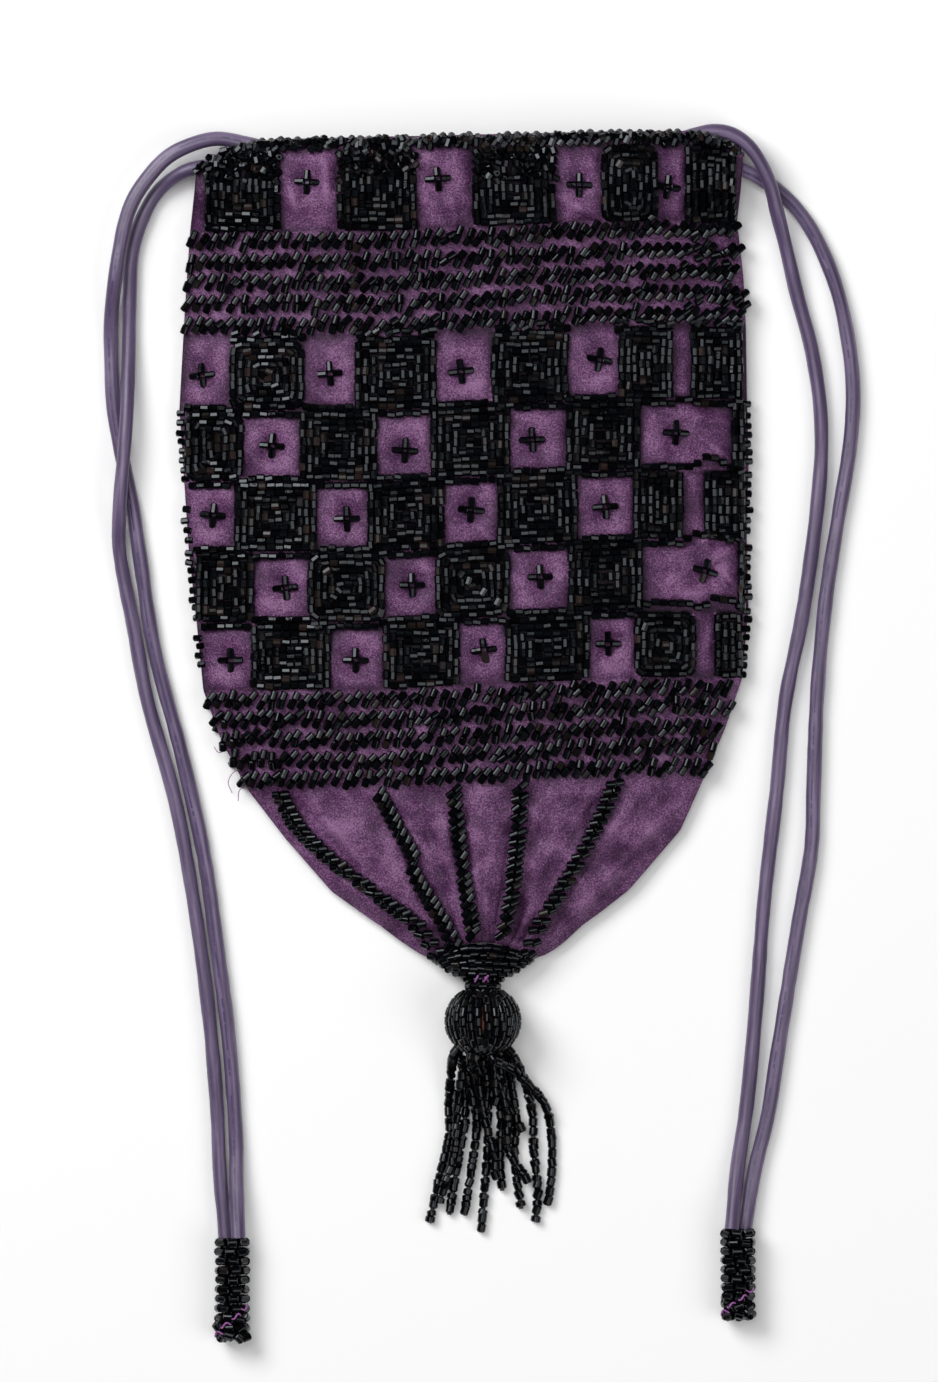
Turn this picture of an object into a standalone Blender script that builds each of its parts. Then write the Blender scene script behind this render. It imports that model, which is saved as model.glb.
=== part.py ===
"""Beaded silk drawstring pouch, lying on its back.

The pouch is a flat tube of purple silk whose pattern of black tube beads runs all round it. It tapers to
a plain base, where a beaded collar holds a knot, a bead-covered ball and a tassel of bead strings. Two
silk drawcords run right round the mouth inside casings, one leaving at each side in a beaded tip.

+Y runs from the tassel to the mouth, +Z away from the surface that the pouch lies on, z = 0 at that
surface. Beadwork is modelled row by row: each row is one solid, stitched to the silk with a small gap.
"""
import math

import bmesh
import bpy
from mathutils import Matrix, Vector

MM = 0.001

# Cloth and beads
SILK = 0.5 * MM
LINING = 0.4 * MM
BEAD = 2.0 * MM
SEAM_GAP = 0.3 * MM
STITCH_GAP = 0.5 * MM
LINING_GAP = 0.7 * MM
CORNER_GAP = 0.6 * MM
FRONT_BEAD = BEAD - STITCH_GAP

# Section of the pouch
BELLY_CAVITY = 7.6 * MM
TIP_CAVITY = 3.6 * MM
MOUTH_CAVITY = 4.7 * MM
SECTION_POWER = 2.6
LINING_INSET = 9.0 * MM
LINING_DROP = 2.3 * MM

# Levels of the beaded rows, from the rim to the point of the base
RIM_Y = 142.6 * MM
TOP_ROW_HEIGHT = 24.6 * MM
UPPER_BAND_HEIGHT = 27.8 * MM
CHECK_HEIGHT = 18.35 * MM
CHECK_ROWS = 5
LOWER_BAND_HEIGHT = 25.4 * MM
BASE_HEIGHT = 40.65 * MM
UPPER_BAND_TOP_Y = RIM_Y - TOP_ROW_HEIGHT
CHECKER_TOP_Y = UPPER_BAND_TOP_Y - UPPER_BAND_HEIGHT
LOWER_BAND_TOP_Y = CHECKER_TOP_Y - CHECK_ROWS * CHECK_HEIGHT
BASE_TOP_Y = LOWER_BAND_TOP_Y - LOWER_BAND_HEIGHT
COLLAR_TOP_Y = BASE_TOP_Y - BASE_HEIGHT
TIP_GAP = 0.45 * MM
BAND_ROWS = 5
RIM_ROW_WIDTH = 3.0 * MM

# Drawcords and their casings
CORD_DIAMETER = 3.8 * MM
CASED_CORD_DIAMETER = 2.4 * MM
CASING_STRIP = 0.4 * MM
CASING_LOW_Y = RIM_Y - 15.6 * MM
CASING_HIGH_Y = RIM_Y - 2.6 * MM
CASING_HALF_LENGTH = 40.0 * MM
CASED_HIGH_Y = RIM_Y - 5.0 * MM
CASED_LOW_Y = RIM_Y - 12.6 * MM
TURN_REACH = 10.0 * MM
CORD_POINT_COUNT = 68
CORD_TUBE_RESOLUTION = 2

# Sides of the pouch at each level: y, left x, right x
SIDE_LEVELS = [
    (RIM_Y, -69.2 * MM, 72.4 * MM),
    (RIM_Y - 14.6 * MM, -69.8 * MM, 71.6 * MM),
    (UPPER_BAND_TOP_Y, -71.0 * MM, 70.8 * MM),
    (UPPER_BAND_TOP_Y - UPPER_BAND_HEIGHT / 2, -72.0 * MM, 72.4 * MM),
    (CHECKER_TOP_Y, -72.8 * MM, 73.1 * MM),
    (CHECKER_TOP_Y - CHECK_HEIGHT, -73.8 * MM, 73.4 * MM),
    (CHECKER_TOP_Y - CHECK_HEIGHT * 2, -72.6 * MM, 73.8 * MM),
    (CHECKER_TOP_Y - CHECK_HEIGHT * 3, -71.4 * MM, 73.3 * MM),
    (CHECKER_TOP_Y - CHECK_HEIGHT * 4, -69.4 * MM, 73.8 * MM),
    (LOWER_BAND_TOP_Y, -67.6 * MM, 72.1 * MM),
    (LOWER_BAND_TOP_Y - LOWER_BAND_HEIGHT / 2, -62.9 * MM, 67.7 * MM),
    (BASE_TOP_Y, -56.4 * MM, 62.4 * MM),
    (BASE_TOP_Y - BASE_HEIGHT * 0.32, -46.4 * MM, 56.0 * MM),
    (BASE_TOP_Y - BASE_HEIGHT * 0.664, -34.2 * MM, 44.2 * MM),
    (BASE_TOP_Y - BASE_HEIGHT * 0.851, -26.2 * MM, 35.8 * MM),
    (COLLAR_TOP_Y + TIP_GAP, -8.6 * MM, 18.4 * MM),
]

# The rim droops at its corners: x of each point of the edge, and its height over the rim's level
DROOP_FROM_Y = RIM_Y - 14.6 * MM
RIM_LINE = [
    (-69.2 * MM, -8.2 * MM),
    (-62.0 * MM, -3.4 * MM),
    (-50.0 * MM, -1.2 * MM),
    (0.0 * MM, -0.2 * MM),
    (40.0 * MM, 0.8 * MM),
    (60.0 * MM, 1.0 * MM),
    (67.0 * MM, -1.0 * MM),
    (72.4 * MM, -4.4 * MM),
]

# How far the rows climb towards the right: x and rise, and the share of it at each level
RISE_LINE = [
    (-75.0 * MM, 0.0),
    (-20.0 * MM, 0.0),
    (20.0 * MM, 2.1 * MM),
    (45.0 * MM, 3.2 * MM),
    (75.0 * MM, 3.0 * MM),
]
RISE_LEVELS = [
    (RIM_Y, 0.0),
    (DROOP_FROM_Y, 0.0),
    (UPPER_BAND_TOP_Y, 0.9),
    (CHECKER_TOP_Y - CHECK_HEIGHT * 3, 1.0),
    (BASE_TOP_Y, 1.0),
    (BASE_TOP_Y - BASE_HEIGHT * 0.8, 0.0),
    (COLLAR_TOP_Y, 0.0),
]

# Checker blocks of each row: left x, right x
BLOCK_ROWS = [
    [(-67.2, -47.3), (-33.0, -12.2), (2.1, 23.7), (35.4, 50.3), (57.6, 70.4)],
    [(-60.8, -41.3), (-28.3, -7.0), (6.8, 26.8), (39.8, 54.1), (58.8, 72.2)],
    [(-73.2, -56.9), (-42.6, -22.4), (-8.8, 12.0), (26.3, 45.8), (69.2, 73.2)],
    [(-59.5, -38.0), (-25.0, -4.9), (8.6, 29.6), (43.7, 56.9), (62.1, 73.2)],
    [(-70.6, -54.3), (-40.6, -20.5), (-7.5, 12.0), (27.0, 46.5), (71.0, 73.2)],
    [(-55.1, -34.3), (-21.1, -1.0), (10.7, 32.8), (43.9, 60.1), (64.7, 73.0)],
]
BLOCK_CORNER = 0.32
LINE_WIDTH = 2.2 * MM
BLOCK_SIDES = 8
BLOCK_DISH = 0.3 * MM
ROW_GAP = 0.6 * MM

# Crosses in the silk squares of each checker row: x, and how far below the row's top
CROSS_ROWS = [
    [(-40.8, 12.3), (-6.8, 11.6), (29.9, 13.1), (54.0, 13.6)],
    [(-68.1, 9.9), (-34.8, 9.6), (-0.8, 9.1), (35.1, 6.0)],
    [(-49.9, 9.95), (-15.3, 11.25), (17.7, 8.45), (55.1, 6.55)],
    [(-65.3, 9.6), (-30.4, 10.6), (1.8, 8.3), (36.7, 7.5)],
    [(-46.3, 10.15), (-13.5, 9.45), (19.8, 7.35), (62.7, 5.75)],
    [(-60.8, 10.6), (-28.1, 10.6), (5.2, 8.0), (37.4, 6.4)],
]
CROSS_SPAN = 6.4 * MM
CROSS_BAR = 1.9 * MM
CROSS_HEIGHT = 1.5 * MM

# Slanted rows of the two bands
SLANT_WIDTH = 4.3 * MM
SLANT_SWING = 0.5 * MM
BAND_SWING = 0.2 * MM
BEAD_DIP = 0.72
SLANT_PITCH = 7.5 * MM
RIM_PITCH = 5.75 * MM
LINE_PITCH = 17.0 * MM
BACK_PITCH = 23.0 * MM
BACK_RIDGE = 0.6

# Radiating lines of the base: each a list of x, and the share of the base's height above it
BASE_LINES = [
    [(-46.6, 0.079), (-42.6, 0.251), (-34.6, 0.448), (-26.8, 0.595), (-18.2, 0.785), (-10.4, 0.905)],
    [(-21.2, 0.079), (-17.2, 0.251), (-13.0, 0.467), (-9.2, 0.669), (-5.4, 0.866)],
    [(-2.4, 0.079), (-2.0, 0.261), (-0.4, 0.487), (1.0, 0.699), (2.1, 0.895)],
    [(14.5, 0.079), (14.0, 0.261), (13.2, 0.487), (12.0, 0.718), (9.9, 0.886)],
    [(38.6, 0.079), (34.8, 0.261), (30.4, 0.443), (25.4, 0.63), (21.6, 0.777), (18.0, 0.9)],
]
BASE_LINE_WIDTH = 4.2 * MM

# Collar, knot, ball and tassel
AXIS_X = 4.9 * MM
COLLAR_LENGTH = 7.4 * MM
COLLAR_RADIUS = 13.6 * MM
COLLAR_LOW_RADIUS = 9.1 * MM
COLLAR_ARC = 4.2 * MM
TIP_ARC_FROM_Y = SIDE_LEVELS[-2][0]
TIP_ARC_POWER = 1.6
COLLAR_HEIGHT = 10.4 * MM
COLLAR_RIDGE = 0.6 * MM
COLLAR_ROWS = 3
KNOT_LENGTH = 2.3 * MM
KNOT_RADIUS = 1.4 * MM
BALL_RADIUS = 9.6 * MM
BALL_RIBS = 14
BALL_RIB_DEPTH = 0.6 * MM
CORE_RADIUS = 7.4 * MM
CORE_BORE_RADIUS = 1.1 * MM
CORE_GAP = 0.8 * MM
STRAND_DIAMETER = 2.0 * MM
STRAND_BEAD_SHRINK = 0.72
STRAND_POINT_COUNT = 9
TASSEL_TUBE_RESOLUTION = 1

# Tassel strings: angle from the ball's lower pole, angle round it, then points to the end,
# each x, how far below the ball's middle, and z, in millimetres
STRANDS = [
    (42, -170, [(-3.2, 12.1, 5.4), (-4.0, 22.4, 1.2), (-3.8, 29.5, 1.0), (-6.2, 40.1, 1.0),
                (-9.2, 53.7, 1.0)]),
    (42, -145, [(-0.4, 13.5, 2.8), (0.3, 25.5, 1.0), (-1.4, 35.5, 1.0), (-4.0, 51.5, 1.0)]),
    (42, -118, [(2.8, 15.5, 1.4), (3.4, 26.5, 1.0), (2.2, 37.0, 1.0), (0.0, 50.9, 1.0)]),
    (42, -90, [(6.0, 17.5, 1.0), (6.2, 31.5, 1.0), (5.4, 43.5, 1.0), (4.4, 55.9, 1.0)]),
    (42, -62, [(9.0, 15.5, 1.4), (9.6, 26.5, 1.0), (9.4, 36.5, 1.0), (10.0, 45.1, 1.0)]),
    (42, -35, [(12.0, 14.5, 2.6), (13.6, 26.5, 1.0), (13.2, 36.5, 1.0), (15.0, 49.9, 1.0)]),
    (42, -10, [(15.4, 14.5, 4.6), (17.8, 24.5, 1.2), (18.2, 34.5, 1.0), (19.2, 44.5, 1.0),
               (18.6, 52.9, 1.0)]),
    (24, 45, [(13.6, 13.5, 8.6), (20.8, 21.5, 3.4), (22.8, 30.5, 1.0), (22.8, 40.5, 1.0),
              (21.8, 48.1, 1.0)]),
    (24, -140, [(-0.6, 14.5, 5.8), (-1.8, 22.5, 3.8), (-2.4, 33.5, 3.5), (-6.4, 47.5, 3.5)]),
    (24, 135, [(3.4, 15.5, 6.6), (5.0, 24.5, 3.8), (7.8, 34.5, 3.4), (8.2, 41.9, 3.4)]),
    (24, -50, [(8.8, 15.5, 4.8), (11.4, 24.5, 3.5), (11.6, 33.5, 3.4), (16.6, 41.9, 3.4)]),
]
STRAND_LEAD = 1.4 * MM

# Cord routes: x, how far below the rim, and z, in millimetres, of each free side from casing to tip
LEFT_OUTER_SIDE = [
    (-50.0, 3.4, 8.8), (-57.5, 2.0, 7.4), (-63.4, 0.7, 7.0), (-70.0, 2.0, 6.9), (-77.5, 5.8, 6.6),
    (-84.2, 13.6, 6.4), (-87.4, 20.0, 6.3), (-89.2, 27.6, 6.1), (-90.6, 36.6, 6.0), (-91.8, 46.6, 3.4),
    (-91.9, 56.6, 1.95), (-91.2, 70.6, 1.95), (-89.2, 82.6, 1.95), (-86.6, 94.6, 1.95),
    (-84.4, 109.3, 1.95), (-80.6, 133.8, 1.95), (-73.8, 159.8, 1.95), (-68.0, 185.8, 1.95),
    (-64.2, 211.8, 1.95), (-61.2, 235.6, 1.95), (-59.4, 260.1, 2.1), (-59.2, 272.6, 4.0),
    (-58.6, 286.9, 6.6),
]
LEFT_INNER_SIDE = [
    (-54.0, 9.0, 5.0), (-60.0, 8.0, 5.0), (-66.0, 7.8, 5.3), (-72.6, 9.1, 5.1), (-79.6, 14.2, 2.3),
    (-84.0, 22.0, 1.95), (-86.4, 30.6, 1.95), (-87.0, 40.6, 1.95), (-87.2, 54.6, 2.6),
    (-87.6, 70.6, 5.0), (-88.4, 82.6, 6.2), (-89.2, 91.6, 6.2), (-89.6, 99.6, 5.0), (-89.6, 108.6, 2.4),
    (-86.0, 127.6, 1.95), (-82.4, 146.8, 1.95), (-75.2, 172.8, 1.95), (-70.4, 198.8, 1.95),
    (-66.8, 224.8, 1.95), (-64.4, 250.8, 1.95), (-63.6, 268.6, 2.2), (-62.0, 286.9, 3.2),
]
RIGHT_OUTER_SIDE = [
    (49.0, 12.4, 9.8), (56.0, 10.4, 7.4), (62.0, 8.0, 5.4), (68.0, 7.6, 5.4), (73.6, 9.1, 5.2),
    (81.0, 13.6, 2.3), (88.1, 20.7, 1.95), (94.1, 31.6, 1.95), (98.5, 45.1, 1.95), (101.2, 63.0, 1.95),
    (100.6, 79.6, 1.95), (97.4, 99.6, 1.95), (94.2, 120.6, 1.95), (92.0, 144.6, 1.95),
    (91.0, 170.7, 1.95), (90.4, 185.8, 1.95), (87.0, 205.6, 1.95), (81.8, 237.8, 1.95),
    (79.2, 254.6, 1.95), (75.8, 268.6, 2.1), (73.0, 284.6, 3.2),
]
RIGHT_INNER_SIDE = [
    (50.0, 3.2, 5.4), (57.5, 0.6, 6.4), (64.2, -1.2, 6.8), (70.0, -0.3, 7.0), (75.2, 4.0, 7.6),
    (79.2, 11.6, 7.5), (81.6, 20.6, 5.6), (84.2, 30.6, 3.2), (86.8, 41.6, 2.0), (90.7, 56.3, 1.95),
    (93.0, 74.0, 1.95), (92.3, 93.6, 1.95), (88.4, 123.1, 1.95), (83.7, 147.0, 1.95),
    (81.4, 170.7, 1.95), (78.2, 198.8, 1.95), (76.2, 224.8, 1.95), (73.8, 250.8, 1.95),
    (71.2, 268.6, 2.6), (69.6, 284.6, 6.6),
]

# Beaded tips: x, y at the cord end
TIP_LEFT = (-60.3 * MM, RIM_Y - 287.2 * MM)
TIP_RIGHT = (71.3 * MM, RIM_Y - 284.9 * MM)
TIP_LENGTH_LEFT = 26.0 * MM
TIP_LENGTH_RIGHT = 22.5 * MM
TIP_RADIUS = 4.7 * MM
TIP_RIDGE = 0.6 * MM
TIP_ROW = 5.0 * MM

PANEL_CELLS = 10

# Colours, linear
PURPLE = (0.17, 0.062, 0.19, 1.0)
LAVENDER = (0.16, 0.10, 0.24, 1.0)
BLACK = (0.004, 0.004, 0.006, 1.0)
TERRACOTTA = (0.42, 0.11, 0.065, 1.0)

# Levels that follow from the sizes above
CASED_CORD_LEVEL_Y = (CASED_HIGH_Y + CASED_LOW_Y) / 2
BACK_SILK_LOW = BEAD + SEAM_GAP
BACK_SILK_TOP = BACK_SILK_LOW + SILK
LINING_LOW = BACK_SILK_TOP + SEAM_GAP
CASED_BACK_Z = BACK_SILK_TOP + SEAM_GAP + CASED_CORD_DIAMETER / 2
BACK_CASING_LOW = CASED_BACK_Z + CASED_CORD_DIAMETER / 2 + SEAM_GAP
BACK_CASING_TOP = BACK_CASING_LOW + CASING_STRIP
FRONT_CASING_DEPTH = SILK + SEAM_GAP + CASED_CORD_DIAMETER + SEAM_GAP
MOUTH_CROWN = BACK_CASING_TOP + MOUTH_CAVITY + CASING_STRIP + FRONT_CASING_DEPTH
LINING_STACK = LINING_LOW + 2 * LINING + LINING_GAP + SILK
BELLY_CROWN = LINING_STACK + BELLY_CAVITY
TIP_CROWN = LINING_STACK + TIP_CAVITY
SEAM_EDGE = BACK_SILK_TOP + SEAM_GAP + SILK
CORNER_EDGE = BACK_SILK_TOP + 2 * CORNER_GAP + CORD_DIAMETER + SILK
COLLAR_LOW_Y = COLLAR_TOP_Y - COLLAR_LENGTH
KNOT_Y = COLLAR_LOW_Y - SEAM_GAP - KNOT_LENGTH / 2
BALL_Y = KNOT_Y - KNOT_LENGTH / 2 - SEAM_GAP - BALL_RADIUS
BALL_Z = BALL_RADIUS
KNOT_Z = BALL_RADIUS


def remove_scene_objects():
    for old in list(bpy.data.objects):
        bpy.data.objects.remove(old, do_unlink=True)


def new_collection(name):
    collection = bpy.data.collections.new(name)
    bpy.context.scene.collection.children.link(collection)
    return collection


def material(name, colour, roughness, metallic=0.0):
    made = bpy.data.materials.new(name)
    made.use_nodes = True
    shader = made.node_tree.nodes["Principled BSDF"]
    shader.inputs["Base Color"].default_value = colour
    shader.inputs["Roughness"].default_value = roughness
    shader.inputs["Metallic"].default_value = metallic
    return made


def between(levels, y, column):
    """Value of a column of a table of levels, which run from high y to low y."""
    for upper, lower in zip(levels, levels[1:]):
        if y >= lower[0]:
            share = (y - lower[0]) / (upper[0] - lower[0])
            return lower[column] + share * (upper[column] - lower[column])
    return levels[-1][column]


CROWN_LEVELS = [
    (SIDE_LEVELS[0][0], MOUTH_CROWN, CORNER_EDGE),
    (SIDE_LEVELS[1][0], MOUTH_CROWN, CORNER_EDGE),
    (SIDE_LEVELS[2][0], (MOUTH_CROWN + BELLY_CROWN) / 2, SEAM_EDGE),
    (SIDE_LEVELS[3][0], BELLY_CROWN, SEAM_EDGE),
    (SIDE_LEVELS[10][0], BELLY_CROWN, SEAM_EDGE),
    (SIDE_LEVELS[15][0], TIP_CROWN, SEAM_EDGE),
]


def side_x(y, side):
    return between(SIDE_LEVELS, y, 1 if side < 0 else 2)


def front_height(x, y):
    """Height of the front silk's outer face."""
    left = side_x(y, -1)
    right = side_x(y, 1)
    across = (2 * x - left - right) / (right - left)
    crown = between(CROWN_LEVELS, y, 1)
    edge = between(CROWN_LEVELS, y, 2)
    return edge + (crown - edge) * (1 - min(1.0, abs(across)) ** SECTION_POWER)


def finish(bm, name, collection, finish_material, smooth_angle=35.0):
    """Make an object of a bmesh, with outward faces and smooth round parts."""
    bmesh.ops.recalc_face_normals(bm, faces=bm.faces)
    mesh = bpy.data.meshes.new(name)
    bm.to_mesh(mesh)
    bm.free()
    mesh.materials.append(finish_material)
    mesh.shade_smooth()
    mesh.set_sharp_from_angle(angle=math.radians(smooth_angle))
    made = bpy.data.objects.new(name, mesh)
    collection.objects.link(made)
    return made


def along_line(line, x):
    """Value at x of a line given as x and value, from low x to high x."""
    for first, second in zip(line, line[1:]):
        if x <= second[0]:
            share = max(0.0, (x - first[0]) / (second[0] - first[0]))
            return first[1] + share * (second[1] - first[1])
    return line[-1][1]


def as_it_lies(x, y):
    """Where a level y lies at x: rows climb to the right, the rim droops and the tip follows the collar."""
    lies = y + along_line(RISE_LINE, x) * between(RISE_LEVELS, y, 1)
    if y > DROOP_FROM_Y:
        lies += along_line(RIM_LINE, x) * (y - DROOP_FROM_Y) / (RIM_Y - DROOP_FROM_Y)
    if y < TIP_ARC_FROM_Y:
        share = (TIP_ARC_FROM_Y - y) / (TIP_ARC_FROM_Y - SIDE_LEVELS[-1][0])
        lies -= share ** TIP_ARC_POWER * COLLAR_ARC * ((x - AXIS_X) / COLLAR_RADIUS) ** 2
    return lies


def laid(made):
    """Move a piece's points from their levels to where they lie."""
    for vert in made.data.vertices:
        vert.co.y = as_it_lies(vert.co.x, vert.co.y)
    return made


def loft(bm, rings, close_ends=True, middles=None):
    """Skin rings of equal count, each a closed loop, and fan the two end rings to their middles."""
    loops = [[bm.verts.new(point) for point in ring] for ring in rings]
    for first, second in zip(loops, loops[1:]):
        count = len(first)
        for index in range(count):
            after = (index + 1) % count
            bm.faces.new((first[index], first[after], second[after], second[index]))
    if close_ends:
        for end, loop in enumerate((loops[0], loops[-1])):
            middle = sum((vert.co for vert in loop), Vector()) / len(loop)
            centre = bm.verts.new(middles[end] if middles else middle)
            for index, vert in enumerate(loop):
                bm.faces.new((vert, loop[(index + 1) % len(loop)], centre))
    return loops


def union(target, others):
    """Join other closed meshes into the target, and remove them."""
    for other in others:
        joint = target.modifiers.new("join", "BOOLEAN")
        joint.operation = "UNION"
        joint.solver = "EXACT"
        joint.object = other
    bpy.context.view_layer.update()
    graph = bpy.context.evaluated_depsgraph_get()
    joined = bpy.data.meshes.new_from_object(target.evaluated_get(graph))
    target.modifiers.clear()
    target.data = joined
    for other in others:
        bpy.data.objects.remove(other, do_unlink=True)


def silk_panel(name, height, collection, cloth, cells):
    """A panel between the sides, from the rim to the collar, thickened inwards from its outer face."""
    bm = bmesh.new()
    rows = []
    for level in SIDE_LEVELS:
        y = level[0]
        left = side_x(y, -1)
        right = side_x(y, 1)
        xs = [left + (right - left) * step / cells for step in range(cells + 1)]
        rows.append([bm.verts.new((x, y, height(x, y))) for x in xs])
    for upper, lower in zip(rows, rows[1:]):
        for step in range(cells):
            bm.faces.new((upper[step], lower[step], lower[step + 1], upper[step + 1]))
    mesh = bpy.data.meshes.new(name)
    bm.to_mesh(mesh)
    bm.free()
    mesh.materials.append(cloth)
    panel = bpy.data.objects.new(name, mesh)
    collection.objects.link(panel)
    solid = panel.modifiers.new("cloth", "SOLIDIFY")
    solid.thickness = SILK
    solid.offset = -1.0
    return panel


def cross(bm, x, y):
    """A low four-pointed cross of beads whose foot is sunk in the silk."""
    reach = CROSS_SPAN / 2
    bar = CROSS_BAR / 2
    base = front_height(x, y) - SILK / 2
    outline = []
    for turn in range(4):
        facing = Matrix.Rotation(math.radians(90) * turn, 2)
        for corner in ((reach, 0.0), (bar, bar)):
            outline.append(facing @ Vector(corner))
    low = [(x + point.x, y + point.y, base) for point in outline]
    high = [(x + point.x * 0.7, y + point.y * 0.7, base + SILK / 2 + CROSS_HEIGHT) for point in outline]
    loft(bm, [low, high])


def row_top(index):
    """Level from which a checker row hangs."""
    return RIM_Y if index == 0 else CHECKER_TOP_Y - CHECK_HEIGHT * (index - 1)


def front_panel(collection, cutters, silk):
    panel = laid(silk_panel("front_panel", front_height, collection, silk, PANEL_CELLS))
    bm = bmesh.new()
    for index, crosses_in_row in enumerate(CROSS_ROWS):
        for x, below in crosses_in_row:
            cross(bm, x * MM, row_top(index) - below * MM)
    crosses = finish(bm, "crosses", cutters, silk)
    union(panel, [crosses])
    return panel


def back_panel(collection, silk):
    """The flat back silk, on its beadwork."""
    bm = bmesh.new()
    outline = [(level[1], level[0]) for level in SIDE_LEVELS]
    tip_y, tip_left, tip_right = SIDE_LEVELS[-1]
    cells = PANEL_CELLS
    outline += [(tip_left + (tip_right - tip_left) * step / cells, tip_y) for step in range(1, cells)]
    outline += [(level[2], level[0]) for level in reversed(SIDE_LEVELS)]
    outline += [(rim_x, RIM_Y) for rim_x, rise in reversed(RIM_LINE[1:-1])]
    face = bm.faces.new([bm.verts.new((x, y, BACK_SILK_LOW)) for x, y in outline])
    lifted = bmesh.ops.extrude_face_region(bm, geom=[face])
    raised = [item for item in lifted["geom"] if isinstance(item, bmesh.types.BMVert)]
    bmesh.ops.translate(bm, verts=raised, vec=(0, 0, SILK))
    return laid(finish(bm, "back_panel", collection, silk))


def lining_section(y, inset):
    """One cross-section of the lining's outer or inner face, as a closed loop."""
    left = side_x(y, -1) + LINING_INSET + inset
    right = side_x(y, 1) - LINING_INSET - inset
    low = LINING_LOW + inset
    cells = PANEL_CELLS // 2 + 1
    xs = [left + (right - left) * step / cells for step in range(cells + 1)]
    loop = [(x, y, front_height(x, y) - SILK - LINING_GAP - inset) for x in xs]
    loop += [(x, y, low) for x in (right, (left + right) / 2, left)]
    return loop


def lining(collection, cloth):
    """A thin pouch inside the silk, open at the top below the casings."""
    levels = [level[0] for level in SIDE_LEVELS[2:14]]
    top = CASING_LOW_Y - LINING_DROP
    outside = [lining_section(y, 0.0) for y in [top] + levels]
    inside = [lining_section(y, LINING) for y in [top] + levels[:-1]]
    inside.append(lining_section(levels[-1] + LINING, LINING))
    bm = bmesh.new()
    outer = loft(bm, outside, close_ends=False)
    inner = loft(bm, inside, close_ends=False)
    count = len(outer[0])
    for index in range(count):
        after = (index + 1) % count
        bm.faces.new((outer[0][index], outer[0][after], inner[0][after], inner[0][index]))
    for loop in (outer[-1], inner[-1]):
        bm.faces.new(loop)
    return laid(finish(bm, "lining", collection, cloth))


def strip(bm, centre, width, height, base, tooth=0.0, low=1.0):
    """A low rounded strip along a list of centre points, whose teeth swing to each side in turn."""
    rings = []
    for index, point in enumerate(centre):
        before = centre[max(0, index - 1)]
        after = centre[min(len(centre) - 1, index + 1)]
        along = Vector((after[0] - before[0], after[1] - before[1])).normalized()
        side = Vector((-along.y, along.x))
        odd = index % 2
        swing = tooth if odd else -tooth
        top = height if odd else height * low
        ring = []
        for across, up in ((-0.5, 0.0), (-0.28, top), (0.28, top), (0.5, 0.0)):
            x = point[0] + side.x * (across * width + (swing if up else 0.0))
            y = point[1] + side.y * (across * width + (swing if up else 0.0))
            ring.append((x, y, base(x, y) + up))
        rings.append(ring)
    loft(bm, rings)


def front_base(x, y):
    """Foot of the front beadwork, a stitch gap above the silk."""
    return front_height(x, y) + STITCH_GAP


def back_base(x, y):
    return 0.0


def row_points(y, inset, pitch):
    """Centre points along a row from side to side, evenly spaced."""
    left = side_x(y, -1) + inset
    right = side_x(y, 1) - inset
    count = max(2, round((right - left) / pitch))
    return [(left + (right - left) * step / count, y) for step in range(count + 1)]


def bend_points(y, inset):
    """Centre points along a row from side to side, one at each bend of the rise."""
    bends = [(bend, y) for bend, rise in RISE_LINE[1:-1]]
    return [(side_x(y, -1) + inset, y)] + bends + [(side_x(y, 1) - inset, y)]


def squircle(x, y, half_x, half_y, angle):
    """Point of a rounded rectangle at an angle."""
    direction = math.radians(angle)
    corner = 1 + BLOCK_CORNER * abs(math.sin(2 * direction)) ** 1.5
    return x + half_x * corner * math.cos(direction), y + half_y * corner * math.sin(direction)


def block(bm, left, right, low_y, high_y, base, steps):
    """A square block of beads in concentric rings: ridges and valleys around its middle."""
    x = (left + right) / 2
    y = (low_y + high_y) / 2
    half_x = (right - left) / 2
    half_y = (high_y - low_y) / 2
    rings = []
    for share, height in steps:
        ring = []
        for side in range(BLOCK_SIDES):
            px, py = squircle(x, y, half_x * share, half_y * share, 360 * side / BLOCK_SIDES)
            px = min(max(px, left), right)
            py = min(max(py, low_y), high_y)
            ring.append((px, py, base(px, py) + height))
        rings.append(ring)
    foot = base(x, y)
    dish = BLOCK_DISH if steps[-1][1] > 0 else 0.0
    middles = [(x, y, foot + steps[0][1]), (x, y, foot + steps[-1][1] - dish)]
    loft(bm, rings, middles=middles)


FRONT_STEPS = [(1.0, 0.0), (0.94, FRONT_BEAD), (0.64, FRONT_BEAD * 0.75), (0.36, FRONT_BEAD)]
BACK_STEPS = [(1.0, BEAD), (0.92, 0.0)]


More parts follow.
